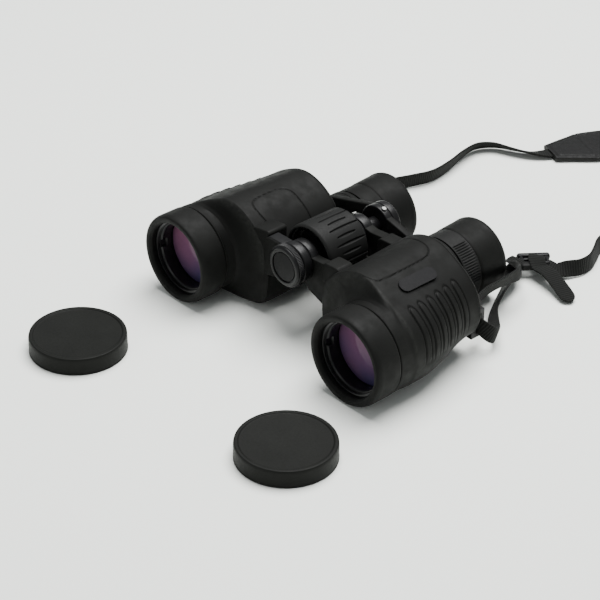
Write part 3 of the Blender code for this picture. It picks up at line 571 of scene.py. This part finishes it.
def add_housing(side):
    """One half's armoured shell, open at both ends, with its moulded detail in the mesh."""
    end = HOUSING_END_Y
    ys = np.concatenate([np.linspace(HOUSING_FRONT_Y, 33, 44), np.linspace(33.3, end - 2.6, 190),
                         np.linspace(end - 2.4, end, 9)])
    sections = np.stack([housing_section(y) for y in ys])
    along = np.roll(sections, -1, axis=1) - np.roll(sections, 1, axis=1)
    outward = np.stack([along[..., 1], -along[..., 0]], -1)
    outward /= np.linalg.norm(outward, axis=-1, keepdims=True)
    y_grid = np.broadcast_to(ys[:, None], sections.shape[:2])
    seam = (OUTER_SEAM, 50) if side > 0 else (INNER_SEAM, 38)
    relief = housing_relief(sections[..., 0], y_grid, sections[..., 1], *seam)
    round_off = -0.12 * smooth_step(y_grid, end - 0.4, end)
    lip = -0.5 * (1 - np.sqrt(np.clip(1 - fraction(-y_grid, -HOUSING_FRONT_Y - 0.6, 0.6) ** 2, 0, 1)))
    outer = sections + outward * (relief + round_off + lip)[..., None]
    inner_end = sections[-1] - SHELL_WALL * outward[-1]
    inner_front = sections[0] - 0.9 * SHELL_WALL * outward[0]
    rows = [*outer, inner_end, inner_front]
    row_ys = [*ys, ys[-1], ys[0]]
    points = np.array([[(side * x, y, z) for x, z in row] for row, y in zip(rows, row_ys)])
    # Painted highlight: a paler band along the front crest at y = 28.3, fading in from z = 24 to 36,
    # standing in for the light the ridge catches
    crest = np.exp(-((y_grid - 28.3) / 1.0) ** 2) * smooth_step(sections[..., 1], 24, 36)
    crest_highlight = np.concatenate([(0.5 * crest).ravel(), np.zeros(2 * COLUMNS)])
    name = NAMES[side]
    add_piece(name + "_housing_shell", points.reshape(-1, 3), grid_faces(len(rows), COLUMNS), "armour",
              name + "_half", [name + "_prism_housing"], 32, crest_highlight)


# ---------------- neck strap

# Strap routes on the table, (x, y, z, tilt): tilt is the angle of the webbing's width from flat
NEAR_LOOP_ROUTE = [
    (42.4, 165.8, 8.8, 12), (46.6, 161.8, 10.2, 40), (53.6, 157.0, 12.8, 75), (60.4, 148.6, 16.5, 98),
    (63.8, 136.0, 19.5, 112), (65.6, 124.0, 21.0, 116), (67.4, 112.0, 21.5, 108), (71.0, 101.5, 20.5, 96),
    (75.6, 94.0, 18.2, 90), (80.0, 92.9, 17.0, 90), (84.4, 93.4, 14.8, 90), (88.0, 97.4, 10.4, 84),
    (86.2, 103.4, 7.2, 74), (78.5, 110.0, 6.3, 64), (68.5, 120.0, 6.0, 62), (59.0, 136.0, 5.8, 58),
    (51.0, 152.0, 5.0, 45), (46.6, 159.4, 4.6, 25), (42.6, 165.4, 5.6, 12)]
NEAR_RUN_ROUTE = [
    (59.2, 183.8, 4.8, 8), (61.4, 185.8, 4.6, 25), (64.6, 189.4, 5.2, 50), (68.2, 196.0, 5.3, 72),
    (68.0, 205.0, 5.2, 80), (64.0, 214.0, 5.2, 80), (59.0, 224.0, 5.0, 75), (57.4, 236.0, 4.4, 60),
    (59.0, 248.0, 3.2, 40), (62.0, 259.0, 2.4, 20), (64.0, 269.4, 1.8, 8)]
TAIL_ROUTE = [
    (54.9, 174.4, 7.8, 4), (59.6, 174.2, 8.0, 0), (65.0, 173.2, 7.6, 0), (75.0, 170.6, 5.0, 0),
    (86.5, 166.8, 1.8, 0)]
FAR_END_ROUTE = [
    (-75.4, 93.8, 18.2, 90), (-80.0, 92.9, 17.2, 90), (-84.2, 93.4, 15.6, 90), (-87.0, 98.6, 12.6, 84),
    (-85.8, 108.0, 9.2, 80), (-84.8, 118.0, 7.4, 78), (-84.0, 126.0, 6.4, 76)]
FAR_RUN_ROUTE = [
    (-83.8, 126.4, 6.4, 76), (-82.6, 142.0, 5.4, 78), (-81.0, 162.0, 5.3, 80), (-78.6, 181.0, 5.3, 80),
    (-73.0, 197.0, 5.3, 78), (-69.0, 211.0, 5.3, 76), (-71.0, 228.0, 5.2, 74), (-76.0, 246.0, 5.0, 66),
    (-78.4, 262.0, 4.6, 52), (-72.0, 273.0, 4.0, 44), (-60.0, 279.0, 3.4, 34), (-50.0, 285.0, 2.8, 22),
    (-44.2, 290.8, 2.4, 8)]
PAD_ROUTE = [
    (-42.4, 294.4, 2.3, 0), (-35.0, 312.0, 2.3, 0), (-25.0, 333.0, 2.3, 0), (-10.0, 352.0, 2.3, 0),
    (12.0, 363.0, 2.3, 0), (36.0, 360.0, 2.3, 0), (55.0, 344.0, 2.3, 0), (64.0, 320.0, 2.3, 0),
    (66.5, 295.0, 2.3, 0), (64.4, 270.8, 2.3, 0)]
# Short stretches that the CAD part doesn't have: into the buckle, over it, and the fold at the far lug
LOOP_ENDS = ((41.4, 171.2, 8.4, 4), (41.6, 170.8, 5.4, 4))
OVER_BUCKLE = [(45.6, 183.0, 8.0, 6), (47.4, 180.4, 10.0, 6), (50.6, 176.8, 9.9, 5)]
BUCKLE_ENTRY = [(54.8, 181.9, 6.6, 2), (50.2, 179.8, 7.6, 0)]
FAR_FOLD_ROUTE = [
    (-76.6, 92.2, 16.4, 90), (-80.4, 91.0, 15.8, 90), (-85.2, 91.6, 14.2, 90), (-88.6, 96.6, 11.6, 84),
    (-87.9, 103.0, 9.6, 80), (-87.0, 108.5, 8.6, 78)]
WEBBING_WIDTH = 10.0
WEBBING_THICKNESS = 1.6
PAD_WIDTH = 36.0
PAD_THICKNESS = 4.0
PAD_END_WIDTH = 0.52    # of the full width, where the webbing goes in
PAD_TAPER = 26.0        # length of each tapered end
PAD_HEM = 3.0           # from the edge to the sewn line
PAD_SEAM_DEPTH = 0.3    # of the half thickness
FLOOR_GAP = 0.1


def strip_frames(route, spacing, width, thickness):
    """Centres, widthwise and upward directions along a strip of webbing that rests on the table."""
    path = curve_through(route, max(8, round(route_length(route) / spacing)))
    along = np.gradient(path[:, :3], axis=0)
    along /= np.linalg.norm(along, axis=1, keepdims=True)
    level = np.cross(along, (0, 0, 1))
    level /= np.linalg.norm(level, axis=1, keepdims=True)
    tilt = np.radians(path[:, 3])[:, None]
    across = level * np.cos(tilt) + np.cross(level, along) * np.sin(tilt)
    normal = np.cross(across, along)
    centres = path[:, :3].copy()
    rest = 0.5 * (width * abs(across[:, 2]) + thickness * abs(normal[:, 2])) + FLOOR_GAP
    centres[:, 2] = np.maximum(centres[:, 2], rest)
    return centres, across, normal


def add_strip(name, route, material, body, replaces=(), width=WEBBING_WIDTH,
              thickness=WEBBING_THICKNESS, spacing=1.2, around=20, width_at=None, crown=5.0, sewn=None):
    """A flat strip with rounded edges.

    width_at(part) scales the width along its length. sewn(from_end, from_edge) is 1 on a line that is
    pressed into the strip, and 0 away from it.
    """
    centres, across, normal = strip_frames(route, spacing, width, thickness)
    count = len(centres)
    parts = np.linspace(0, 1, count)
    widths = width * (np.ones(count) if width_at is None else width_at(parts))
    angles = math.tau * np.arange(around) / around
    flat = np.sign(np.cos(angles)) * abs(np.cos(angles)) ** (2 / crown)
    lift = np.sign(np.sin(angles)) * abs(np.sin(angles)) ** (2 / crown)
    travelled = np.concatenate([[0], np.cumsum(np.linalg.norm(np.diff(centres, axis=0), axis=1))])
    heights = 0.5 * thickness * lift * np.ones((count, 1))
    if sewn:
        from_end = np.minimum(travelled, travelled[-1] - travelled)[:, None]
        heights *= 1 - PAD_SEAM_DEPTH * sewn(from_end, 0.5 * widths[:, None] * (1 - abs(flat)))
    points = (centres[:, None] + across[:, None] * (0.5 * widths[:, None] * flat)[..., None]
              + normal[:, None] * heights[..., None])
    uvs = [(0.5 * w * f, s) for w, s in zip(widths, travelled) for f in flat]
    piece = add_piece(name, points.reshape(-1, 3), open_tube_faces(count, around), material, body, replaces,
                      40, None, uvs)
    path = [(Vector(p) + ORIGIN) * MM for p in centres]
    return piece, path, travelled[-1] * MM


def rounded_tip(part):
    """The tail's last few millimetres narrow to a rounded tip."""
    return np.sqrt(np.clip(1 - fraction(part, 0.87, 0.13) ** 2.4, 0.02, 1))


def add_strap():
    # Each far stretch ends where the next begins, so its last point is left out of the joined strip
    far_route = FAR_END_ROUTE[:-1] + FAR_RUN_ROUTE[:-1]
    main_route = far_route + PAD_ROUTE + NEAR_RUN_ROUTE[::-1] + BUCKLE_ENTRY
    main, path, length = add_strip("strap_main", main_route, "webbing", None,
                                   ["strap_far_end", "strap_far_run", "strap_near_run"])
    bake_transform(main)
    tail, _, _ = add_strip("strap_tail_end", OVER_BUCKLE + TAIL_ROUTE, "webbing", "left_half",
                           ["strap_tail"], width_at=rounded_tip)
    pad = add_pad()
    loop_route = [LOOP_ENDS[0], *NEAR_LOOP_ROUTE, LOOP_ENDS[1]]
    loop, loop_path, loop_length = add_strip("strap_loop", loop_route, "webbing", "left_half",
                                             ["strap_near_loop"])
    add_strip("strap_far_fold", FAR_FOLD_ROUTE, "webbing", "right_half")
    buckle = add_buckle()


def add_bar(name, start, end, width, height, material, body, replaces=()):
    """A moulded bar between two places with rounded edges and ends."""
    start, end = Vector(start), Vector(end)
    along = (end - start).normalized()
    across = along.cross(Vector((0, 0, 1))).normalized()
    up = across.cross(along)
    length = (end - start).length
    tip = min(width, height) / 2
    stops = [0.02, 0.15, 0.4, 0.7, 1.0]
    travel = [tip * t for t in stops] + [length - tip * t for t in reversed(stops)]
    swell = [math.sqrt(1 - (1 - t) ** 2) for t in stops]
    around = 24
    points = []
    for distance, size in zip(travel, swell + swell[::-1]):
        for k in range(around):
            turn = math.tau * k / around
            flat = math.copysign(abs(math.cos(turn)) ** 0.6, math.cos(turn)) * width / 2
            lift = math.copysign(abs(math.sin(turn)) ** 0.6, math.sin(turn)) * height / 2
            points.append(start + along * distance + (across * flat + up * lift) * size)
    faces = open_tube_faces(len(travel), around)
    return add_piece(name, [tuple(p) for p in points], faces, material, body, replaces, 40)


def add_buckle():
    """A ladder buckle: a thick top bar, two rungs and two side rails, with a folded keeper beside it."""
    centre = centre_of("strap_buckle") - ORIGIN
    heading = math.radians(51.5)
    wide = Vector((math.cos(heading), math.sin(heading), 0))
    deep = Vector((-math.sin(heading), math.cos(heading), 0))
    pieces = []
    # Each rung's offset from the middle one, its width and height, half its length, and what it stands for
    rungs = (("top_bar", 4.1, 3.6, 4.6, 10.2, ["strap_buckle"]), ("middle_rung", 0.0, 2.4, 3.2, 7.4, ()),
             ("lower_rung", -4.4, 2.2, 3.4, 8.4, ()))
    for label, offset, width, height, half, replaces in rungs:
        middle = centre + deep * offset
        pieces.append(add_bar("buckle_" + label, middle - wide * half, middle + wide * half, width, height,
                              "hard_plastic", "left_half", replaces))
    for label, way in (("left_rail", -1), ("right_rail", 1)):
        middle = centre + wide * (way * 7.6)
        pieces.append(add_bar("buckle_" + label, middle - deep * 5.2, middle + deep * 5.0, 2.2, 3.2,
                              "hard_plastic", "left_half"))
    keeper = centre - wide * 5.0 - deep * 6.4
    pieces.append(add_bar("buckle_keeper", keeper - wide * 4.6, keeper + wide * 4.6, 5.2, 4.2,
                          "rough_armour", "left_half"))
    return pieces


def on_line(distance, half_width):
    """1 on a sewn line, falling smoothly to 0 at half_width to each side of it."""
    return 1 - smooth_step(abs(distance), 0, half_width)


def pad_seams(from_end, from_edge):
    """A sewn line inside the pad's whole edge, and a seam across it where each tapered end begins."""
    hem = np.maximum(on_line(from_edge - PAD_HEM, 0.9), on_line(from_end - PAD_HEM, 0.9))
    hem = hem * (from_edge > PAD_HEM - 1) * (from_end > PAD_HEM - 1)
    return np.maximum(hem, on_line(from_end - PAD_TAPER, 1.1))


def add_pad():
    """The neck pad, with straight tapered ends."""
    length = route_length(PAD_ROUTE)

    def pad_width(part):
        reach = np.clip(np.minimum(part, 1 - part) * length / PAD_TAPER, 0, 1)
        return PAD_END_WIDTH + (1 - PAD_END_WIDTH) * reach
    pad, _, _ = add_strip("strap_pad", PAD_ROUTE, "leatherette", "left_half", ["neck_pad"], PAD_WIDTH,
                          PAD_THICKNESS, 0.9, 144, pad_width, 4.5, pad_seams)
    return pad


# ---------------- plates and arms

def filleted(outline, radius):
    """Round every corner of a closed (x, z) outline."""
    return rounded([(x, z, radius) for x, z in outline], 5)


def inset(outline, distance):
    """Move a closed outline's points inwards. The outline runs counterclockwise."""
    along = np.roll(outline, -1, axis=0) - np.roll(outline, 1, axis=0)
    along /= np.maximum(np.linalg.norm(along, axis=1, keepdims=True), 1e-9)
    return outline + np.stack([-along[:, 1], along[:, 0]], -1) * distance


def add_plate(name, outline, y_span, material, body, side=1, edge=0.5, replaces=()):
    """An (x, z) outline extruded along Y, with its edges rounded off."""
    y_start, y_end = y_span
    turns = np.linspace(0, math.pi / 2, 4)
    rows, ys = [], []
    for turn in turns:
        rows.append(inset(outline, edge * (1 - math.sin(turn))))
        ys.append(y_start + edge * (1 - math.cos(turn)))
    rows += rows[::-1]
    ys += [y_start + y_end - y for y in reversed(ys)]
    points = np.array([[(side * x, y, z) for x, z in row] for row, y in zip(rows, ys)]).reshape(-1, 3)
    return add_piece(name, points, open_tube_faces(len(rows), len(outline)), material, body, replaces, 35)


FRONT_ARMS = {
    1: [(2.0, 36.0), (7.0, 29.6), (20.0, 24.5), (27.0, 23.0), (30.5, 36.0), (31.5, 49.6), (29.5, 52.2),
        (19.0, 51.2), (11.0, 50.8), (4.0, 51.6)],
    -1: [(2.0, 37.0), (7.0, 33.0), (16.0, 30.0), (22.0, 29.0), (23.0, 38.0), (23.0, 47.0), (21.4, 52.6),
         (19.5, 53.6), (8.0, 53.8), (2.0, 52.4)]}
REAR_ARMS = {
    1: [(2.0, 37.5), (8.0, 35.5), (22.0, 33.5), (24.0, 35.5), (31.0, 44.0), (34.5, 51.0), (31.0, 53.4),
        (22.0, 52.4), (12.0, 51.6), (3.0, 53.4)],
    -1: [(2.0, 37.5), (8.0, 35.5), (20.0, 33.5), (24.0, 35.5), (26.5, 42.0), (26.5, 47.0), (23.0, 50.2),
         (17.0, 51.0), (12.0, 51.2), (3.0, 53.0)]}
FRONT_LUG_Y = {-1: (26.3, 32.3), 1: (32.7, 38.8)}
FRONT_LUG_R = {-1: 12.0, 1: 11.3}
REAR_LUG_Y = {-1: (70.0, 75.3), 1: (75.7, 82.0)}
REAR_LUG_R = 10.5
PIN_R = 6.5
SLEEVE_R = 8.1
SPINDLE_R = 5.0
GAP = 0.3


def lug_profile(inner, outer, y_span):
    """A bored ring with well rounded rims."""
    y_start, y_end = y_span
    return [(inner, y_start, 0.2), (outer, y_start, 1.3), (outer, y_end, 1.3), (inner, y_end, 0.2)]


def add_arms(side):
    """The two arms that join a housing to the hinge line, each with its lug: the near half has a block
    where each arm meets the housing, the far half a block and a saddle at its front arm only.
    """
    name = NAMES[side]
    body = name + "_half"
    y_start, y_end = FRONT_LUG_Y[side]
    add_plate(name + "_front_arm", filleted(FRONT_ARMS[side], 1.4), (y_start, y_end), "armour",
              body, side, 0.6)
    block = [(18.5, 40.0), (30.5, 40.0), (33.0, 50.5), (30.0, 53.0), (20.5, 52.6), (18.5, 50.6)]
    if side > 0:
        add_plate(name + "_front_block", filleted(block, 1.0), (y_start - 0.2, y_end + 5.0), "armour",
                  body, side, 0.7)
    else:
        far_block = [(6.5, 42.0), (19.6, 42.0), (20.4, 53.2), (19.0, 54.6), (7.5, 54.6), (6.5, 53.4)]
        add_plate(name + "_front_block", filleted(far_block, 0.8), (y_start + 0.6, y_end + 2.0),
                  "hard_plastic", body, side, 0.6)
        saddle = [(20.8, 38.0), (27.0, 38.0), (36.0, 47.0), (35.4, 53.2), (30.0, 54.4), (22.2, 55.4),
                  (20.8, 54.2)]
        add_plate(name + "_front_saddle", filleted(saddle, 1.2), (28.6, 42.6), "armour", body, side, 1.0)
    add_turned(name + "_front_lug", lug_profile(PIN_R + GAP, FRONT_LUG_R[side], FRONT_LUG_Y[side]),
               "hard_plastic", body, HINGE)
    add_plate(name + "_rear_arm", filleted(REAR_ARMS[side], 1.4), REAR_LUG_Y[side], "armour",
              body, side, 0.6)
    rear_start, rear_end = REAR_LUG_Y[side]
    if side > 0:
        rear_block = filleted([(x + 1.5, z + 0.3) for x, z in block], 1.0)
        add_plate(name + "_rear_block", rear_block, (rear_start - 2.5, rear_end + 1.0), "armour",
                  body, side, 0.7)
    add_turned(name + "_rear_lug", lug_profile(SLEEVE_R + GAP, REAR_LUG_R, REAR_LUG_Y[side]),
               "hard_plastic", body, HINGE)


# ---------------- objective ends

def add_objective(side):
    """Rubber bumper, baffled cell, notched retaining ring and domed front lens."""
    name = NAMES[side]
    body = name + "_half"
    centre = (side * OBJECTIVE.x, OBJECTIVE.z)
    bumper = [(21.75, 4.0, 0.2), (21.75, 1.5, 0.7), (23.2, 0.0, 0.9), (BARREL_R - 0.9, 0.0, 1.3),
              (BARREL_R, 2.6, 2.4), (BARREL_R, 15.9, 0.4), (BARREL_R - 0.45, 16.6, 0.3), (22.4, 16.6),
              (22.4, 4.3)]
    add_turned(name + "_bumper_ring", bumper, "armour", body, centre, [name + "_objective_bumper"], 192,
               sharp=50, steps=6)
    bore = 21.2
    grooves = []
    for k in range(6):
        y = 9.8 - 0.9 * k
        grooves += [(bore, y), (bore - 0.3, y - 0.15), (bore - 0.3, y - 0.45), (bore, y - 0.6)]
    cell = [(22.1, 4.6), (22.1, 25.7), (18.8, 25.7), (18.8, 24.9), (19.4, 22.0), (20.8, 21.6),
            (20.8, 10.2), *grooves]
    add_turned(name + "_baffle_cell", cell, "black_metal", body, centre, [name + "_objective_cell"])
    add_retainer(name, body, centre)
    add_lens(name + "_front_lens", 20.4, 14.0, 1.9, 17.8, body, centre, name + "_objective_lens", 128, 16)


def add_retainer(name, body, centre):
    """The ring that holds the front lens: two notches in its front face take a pin wrench."""
    notch_half = 0.13

    def notched(radii, angles, ys):
        from_side = np.minimum(angles % math.pi, -angles % math.pi)
        cut = (from_side < notch_half) & (ys < 10.8)
        return np.where(cut & (radii < 20.3), 20.45, radii)
    bore = [(19.3, y) for y in np.linspace(13.0, 7.4, 12)]
    ring = [(19.3, 13.4, 0.2), *bore, (20.0, 6.6, 0.2), (20.75, 6.6, 0.2), (20.75, 13.4, 0.1)]
    add_turned(name + "_notched_ring", ring, "black_metal", body, centre, [name + "_lens_retainer"], 192,
               notched)


# ---------------- hinge line

WHEEL_R = 18.5


def add_wheel():
    """Rubber grip with thin tapered slots, long and short by turns, over a dished core."""
    slots = 24

    def slotted(radii, angles, ys):
        turn = angles * slots / math.tau
        nearest = np.round(turn)
        off = (turn - nearest) * math.tau / slots * WHEEL_R
        long_slot = np.mod(nearest, 2) == 0
        start = np.where(long_slot, 46.5, 49.5)
        end = np.where(long_slot, 67.9, 63.0)
        along = np.clip((ys - start) / (end - start), 0, 1)
        width = 0.18 + 0.55 * np.sin(math.pi * along) ** 0.6
        depth = 0.9 * np.exp(-(off / width) ** 4) * (np.sin(math.pi * along) > 0.02)
        return np.where(radii > WHEEL_R - 0.3, radii - depth, radii)
    outer = [(WHEEL_R, y) for y in np.linspace(42.0, 67.6, 40)]
    grip = [(16.5, 39.6, 0.3), (17.3, 39.4, 0.4), (WHEEL_R - 0.1, 40.6, 0.8), *outer,
            (WHEEL_R - 0.6, 68.5, 0.5), (16.5, 68.5, 0.3)]
    add_turned("wheel_rubber_grip", grip, "rough_armour", "focus_wheel", HINGE, ["focus_wheel_grip"], 720,
               slotted, 40)
    core = [(6.8, 40.6, 0.3), (8.6, 40.6, 0.5), (9.2, 46.4, 0.8), (14.8, 47.4, 0.8), (15.6, 42.2, 0.5),
            (16.4, 41.2, 0.3), (16.4, 67.4, 0.3), (15.6, 68.1, 0.4), (9.6, 67.6, 0.3), (8.4, 67.8, 0.2),
            (8.4, 60.4), (5.3, 60.4), (5.3, 46.0), (6.8, 46.0)]
    add_turned("wheel_dished_core", core, "hard_plastic", "focus_wheel", HINGE, ["focus_wheel_core"])


def knurled(count, depth, above):
    """Fine straight knurling on whatever lies beyond a radius."""
    def change(radii, angles, ys):
        wave = np.abs(np.cos(angles * count / 2))
        return np.where(radii > above, radii - depth * (1 - wave ** 0.7), radii)
    return change


def add_tripod_cover():
    """Knurled screw-in cover with a bevelled face and a plain inset disc."""
    face = [(0, 21.9), (9.2, 21.9, 0.1), (9.2, 20.7, 0.2), (9.6, 20.5, 0.2), (11.0, 20.5, 0.4),
            (12.0, 21.5, 0.6), (12.0, 22.0, 0.1), (11.9, 25.5, 0.3), (3.5, 25.7), (3.5, 22.4), (0, 22.4)]
    add_turned("cover_bevelled_face", face, "hard_plastic", "tripod_cover", HINGE, ["tripod_cover"])
    band = [(12.1, 22.0, 0.1), (12.6, 22.1, 0.15), (12.6, 25.3, 0.2), (12.1, 25.4, 0.1)]
    add_turned("cover_knurled_band", band, "hard_plastic", "tripod_cover", HINGE, ["tripod_cover_knurl"],
               720, knurled(90, 0.28, 12.5), 60)
    disc = [(0, 21.0), (8.4, 21.0, 0.15), (8.6, 21.3, 0.1), (8.6, 21.6), (0, 21.6)]
    add_turned("cover_inset_disc", disc, "badge", "tripod_cover", HINGE, ["tripod_cover_disc"], 96)


def add_rear_hinge():
    """Sleeve, spindle and domed end cap behind the wheel."""
    sleeve = [(5.3, 61.0, 0.2), (SLEEVE_R, 61.0, 0.3), (SLEEVE_R, 82.8, 0.4), (5.3, 82.8, 0.3)]
    add_turned("hinge_sleeve", sleeve, "black_metal", "left_half", HINGE, ["rear_hinge_sleeve"], 96)
    spindle = [(0, 46.5), (SPINDLE_R, 46.5, 0.4), (SPINDLE_R, 101.0, 0.4), (0, 101.0)]
    add_turned("threaded_spindle", spindle, "black_metal", "left_bridge", HINGE, ["focus_spindle"], 96)
    cap = [(0, 101.3), (7.6, 101.3, 0.3), (8.0, 102.2, 0.6), (6.8, 103.8, 1.2), (3.6, 104.5, 0.8),
           (0, 104.6)]
    add_turned("bridge_end_cap", cap, "hard_plastic", "left_bridge", HINGE, ["bridge_cap"], 96)


# ---------------- eyepieces

BRIDGE_Y = {1: (91.6, 96.1), -1: (96.4, 100.9)}
HUB_R = 11.5
COLLAR_R = 21.8


def belt_outline(first, first_r, second, second_r):
    """The outline of a belt round two circles, as (x, z) points."""
    dx, dz = second[0] - first[0], second[1] - first[1]
    heading = math.atan2(dz, dx)
    lean = math.acos((first_r - second_r) / math.hypot(dx, dz))
    points = []
    for centre, radius, start, end in ((second, second_r, -lean, lean),
                                       (first, first_r, lean, math.tau - lean)):
        for turn in np.linspace(start, end, 28):
            points.append((centre[0] + radius * math.cos(heading + turn),
                           centre[1] + radius * math.sin(heading + turn)))
    return np.array(points)


def add_bridge(side):
    """The plate that carries an eyepiece, with a raised hub on the spindle."""
    name = NAMES[side]
    body = name + "_bridge"
    y_start, y_end = BRIDGE_Y[side]
    outline = belt_outline(HINGE, HUB_R - 2.2, (EYE.x, EYE.z), COLLAR_R + 0.4)
    add_plate(name + "_bridge_plate", outline, (y_start, y_end), "armour", body, side, 0.7,
              [name + "_bridge_arm"])
    hub = [(SPINDLE_R + GAP, y_start - 0.05, 0.2), (HUB_R, y_start - 0.05, 0.8),
           (HUB_R, y_end + 0.05, 0.8), (SPINDLE_R + GAP, y_end + 0.05, 0.2)]
    add_turned(name + "_bridge_hub", hub, "hard_plastic", body, HINGE, segments=96)


def add_eyepiece(side):
    """Collar, ribbed or plain ring, rubber eyecup, and the barrel with the eye lens."""
    name = NAMES[side]
    bridge = name + "_bridge"
    inner = "dioptre_carrier" if side > 0 else bridge
    outer = "dioptre_ring" if side > 0 else bridge
    centre = (side * EYE.x, EYE.z)
    collar_y = BRIDGE_Y[side][1] + 0.2
    collar = [(12.7, collar_y), (COLLAR_R, collar_y, 0.5), (COLLAR_R, 103.6, 0.2),
              (COLLAR_R - 0.35, 103.9, 0.1), (COLLAR_R - 0.35, 104.2, 0.1), (COLLAR_R, 104.5, 0.2),
              (COLLAR_R, 107.4, 0.5), (12.7, 107.4)]
    add_turned(name + "_collar", collar, "armour", bridge, centre, [name + "_eyepiece_collar"], 160)
    band = [(COLLAR_R - 0.2, y) for y in np.linspace(109.2, 120.0, 12)]
    ring = [(16.7, 108.5), (COLLAR_R - 0.2, 108.5, 0.3), *band, (COLLAR_R - 0.2, 120.8, 0.3),
            (16.7, 120.8)]
    if side > 0:
        add_turned(name + "_ribbed_band", ring, "rough_armour", outer, centre, ["left_dioptre_ring"], 960,
                   dioptre_ribs, 60)
    else:
        add_turned(name + "_plain_band", ring, "armour", outer, centre, ["right_eyepiece_ring"], 160)
    start = 121.1
    eyecup = [(16.7, start), (COLLAR_R - 0.5, start, 0.2), (COLLAR_R + 0.1, start + 1.4, 0.8),
              (COLLAR_R + 0.45, 130.0), (EYECUP_R - 0.35, 136.6, 1.0), (EYECUP_R, 138.8, 1.2),
              (EYECUP_R - 0.7, EYECUP_END_Y, 1.0), (EYECUP_R - 2.5, EYECUP_END_Y, 1.0), (18.8, 137.4, 1.0),
              (17.4, 134.2, 1.0), (16.7, 133.6)]
    add_turned(name + "_rubber_eyecup", eyecup, "armour", outer, centre, [name + "_eyecup"], 160, sharp=45,
               steps=6)
    cell = [(11.9, 109.2), (16.4, 109.2), (16.4, 131.6, 0.4), (15.2, 132.6, 0.3), (14.2, 132.0, 0.2),
            (13.2, 133.0, 0.3), (11.2, 133.0, 0.3), (10.9, 131.9, 0.2), (11.9, 131.2)]
    add_turned(name + "_ocular_barrel", cell, "black_metal", inner, centre, [name + "_ocular_cell"])
    add_lens(name + "_eye_glass", 11.6, 125.4, 1.4, 128.0, inner, centre, name + "_eye_lens", 96, 12)


def dioptre_ribs(radii, angles, ys):
    """Fine grip ribs in three runs round the ring, between smooth lands."""
    run = np.mod(angles, math.tau / 3)
    inside = smooth_step(run, 0.0, 0.04) * (1 - smooth_step(run, 1.16, 1.2))
    ends = smooth_step(ys, 109.2, 109.8) * (1 - smooth_step(ys, 118.8, 119.4))
    wave = np.abs(np.cos(angles * 42))
    depth = 0.65 * (1 - wave ** 0.8) * inside * ends
    return np.where(radii > COLLAR_R - 0.5, radii - depth, radii)


def add_rear_cover(side):
    """The rounded plate behind the prism chamber, with a raised ring round the eyepiece tube."""
    name = NAMES[side]
    eye = np.array([EYE.x, EYE.z])
    toward = REAR_CURVE - eye
    unit = toward / np.linalg.norm(toward, axis=1, keepdims=True)
    rows = []
    for shrink, y in ((0.2, 84.65), (0.05, 84.8), (0.1, 85.3), (0.5, 86.1), (1.1, 86.7), (2.0, 87.1),
                      (3.2, 87.2)):
        rows.append((inset(REAR_CURVE, shrink), y))
    for radius, y in ((17.6, 87.2), (17.2, 87.9), (16.6, 88.4), (13.4, 88.4), (12.8, 88.0), (12.8, 84.9)):
        rows.append((eye + unit * radius, y))
    points = np.array([[(side * x, y, z) for x, z in row] for row, y in rows]).reshape(-1, 3)
    add_piece(name + "_back_plate", points, grid_faces(len(rows), COLUMNS), "armour", name + "_half",
              [name + "_rear_cover"], 40)


def add_eyepiece_tube(side):
    """The tube under the collar, which slides in the rear cover as the wheel turns."""
    name = NAMES[side]
    centre = (side * EYE.x, EYE.z)
    tube = [(10.9, 74.0, 0.2), (12.4, 74.0, 0.2), (12.4, 107.4, 0.2), (10.9, 107.4, 0.2)]
    add_turned(name + "_sliding_tube", tube, "black_metal", name + "_bridge", centre,
               [name + "_eyepiece_tube"], 96)


# ---------------- loose caps

def add_cap(side):
    """A loose push-on cap with a stepped rim and a finger bead at its foot."""
    name = NAMES[side]
    low, high = box_mm(name + "_objective_cap")
    centre = (low + high) / 2 - ORIGIN
    top = CAP_HEIGHT
    profile = [(0, top - 0.6), (CAP_R - 3.0, top - 0.6, 0.5), (CAP_R - 2.4, top, 0.4),
               (CAP_R - 0.5, top, 0.7), (CAP_R - 0.15, top - 1.4, 0.5), (CAP_R - 0.1, 1.2, 0.2),
               (CAP_R, 0.9, 0.2), (CAP_R, 0, 0.3), (CAP_R - 1.3, 0, 0.3), (CAP_R - 1.5, top - 2.2, 0.5),
               (0, top - 2.2)]
    points = rounded(profile, 5)
    segments = 192
    angles = np.arange(segments) * math.tau / segments
    rows = np.stack([centre.x + points[:, :1] * np.cos(angles), centre.y + points[:, :1] * np.sin(angles),
                     np.broadcast_to(points[:, 1:], (len(points), segments))], -1)
    faces = grid_faces(len(points), segments, closed_rows=False)
    add_piece(name + "_push_on_cap", rows.reshape(-1, 3), faces, "cap_plastic", name + "_cap",
              [name + "_objective_cap"], 35)


# ---------------- pieces carried over from the frame

CARRIED = {
    "steel": ["front_hinge_pin", "rear_lug_screw", "bridge_hub_screw", "tripod_cover_stud"],
    "clear_glass": ["left_front_prism", "right_front_prism", "left_rear_prism", "right_rear_prism"],
    "black_metal": ["left_prism_shelf", "right_prism_shelf"],
    "glass": ["left_field_lens", "right_field_lens"],
    "hard_plastic": ["left_strap_lug", "right_strap_lug"],
    "badge": ["left_name_plate"]}


def dress_carried_nodes():
    for material, nodes in CARRIED.items():
        for node in nodes:
            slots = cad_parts[node].data.materials
            for k in range(len(slots)):
                slots[k] = MATERIALS[material]


# ---------------- build


add_camera()
add_studio()
add_strap()
for side in (1, -1):
    add_housing(side)
    add_arms(side)
    add_rear_cover(side)
    add_objective(side)
    add_bridge(side)
    add_eyepiece_tube(side)
    add_eyepiece(side)
    add_cap(side)
add_wheel()
add_tripod_cover()
add_rear_hinge()
dress_carried_nodes()
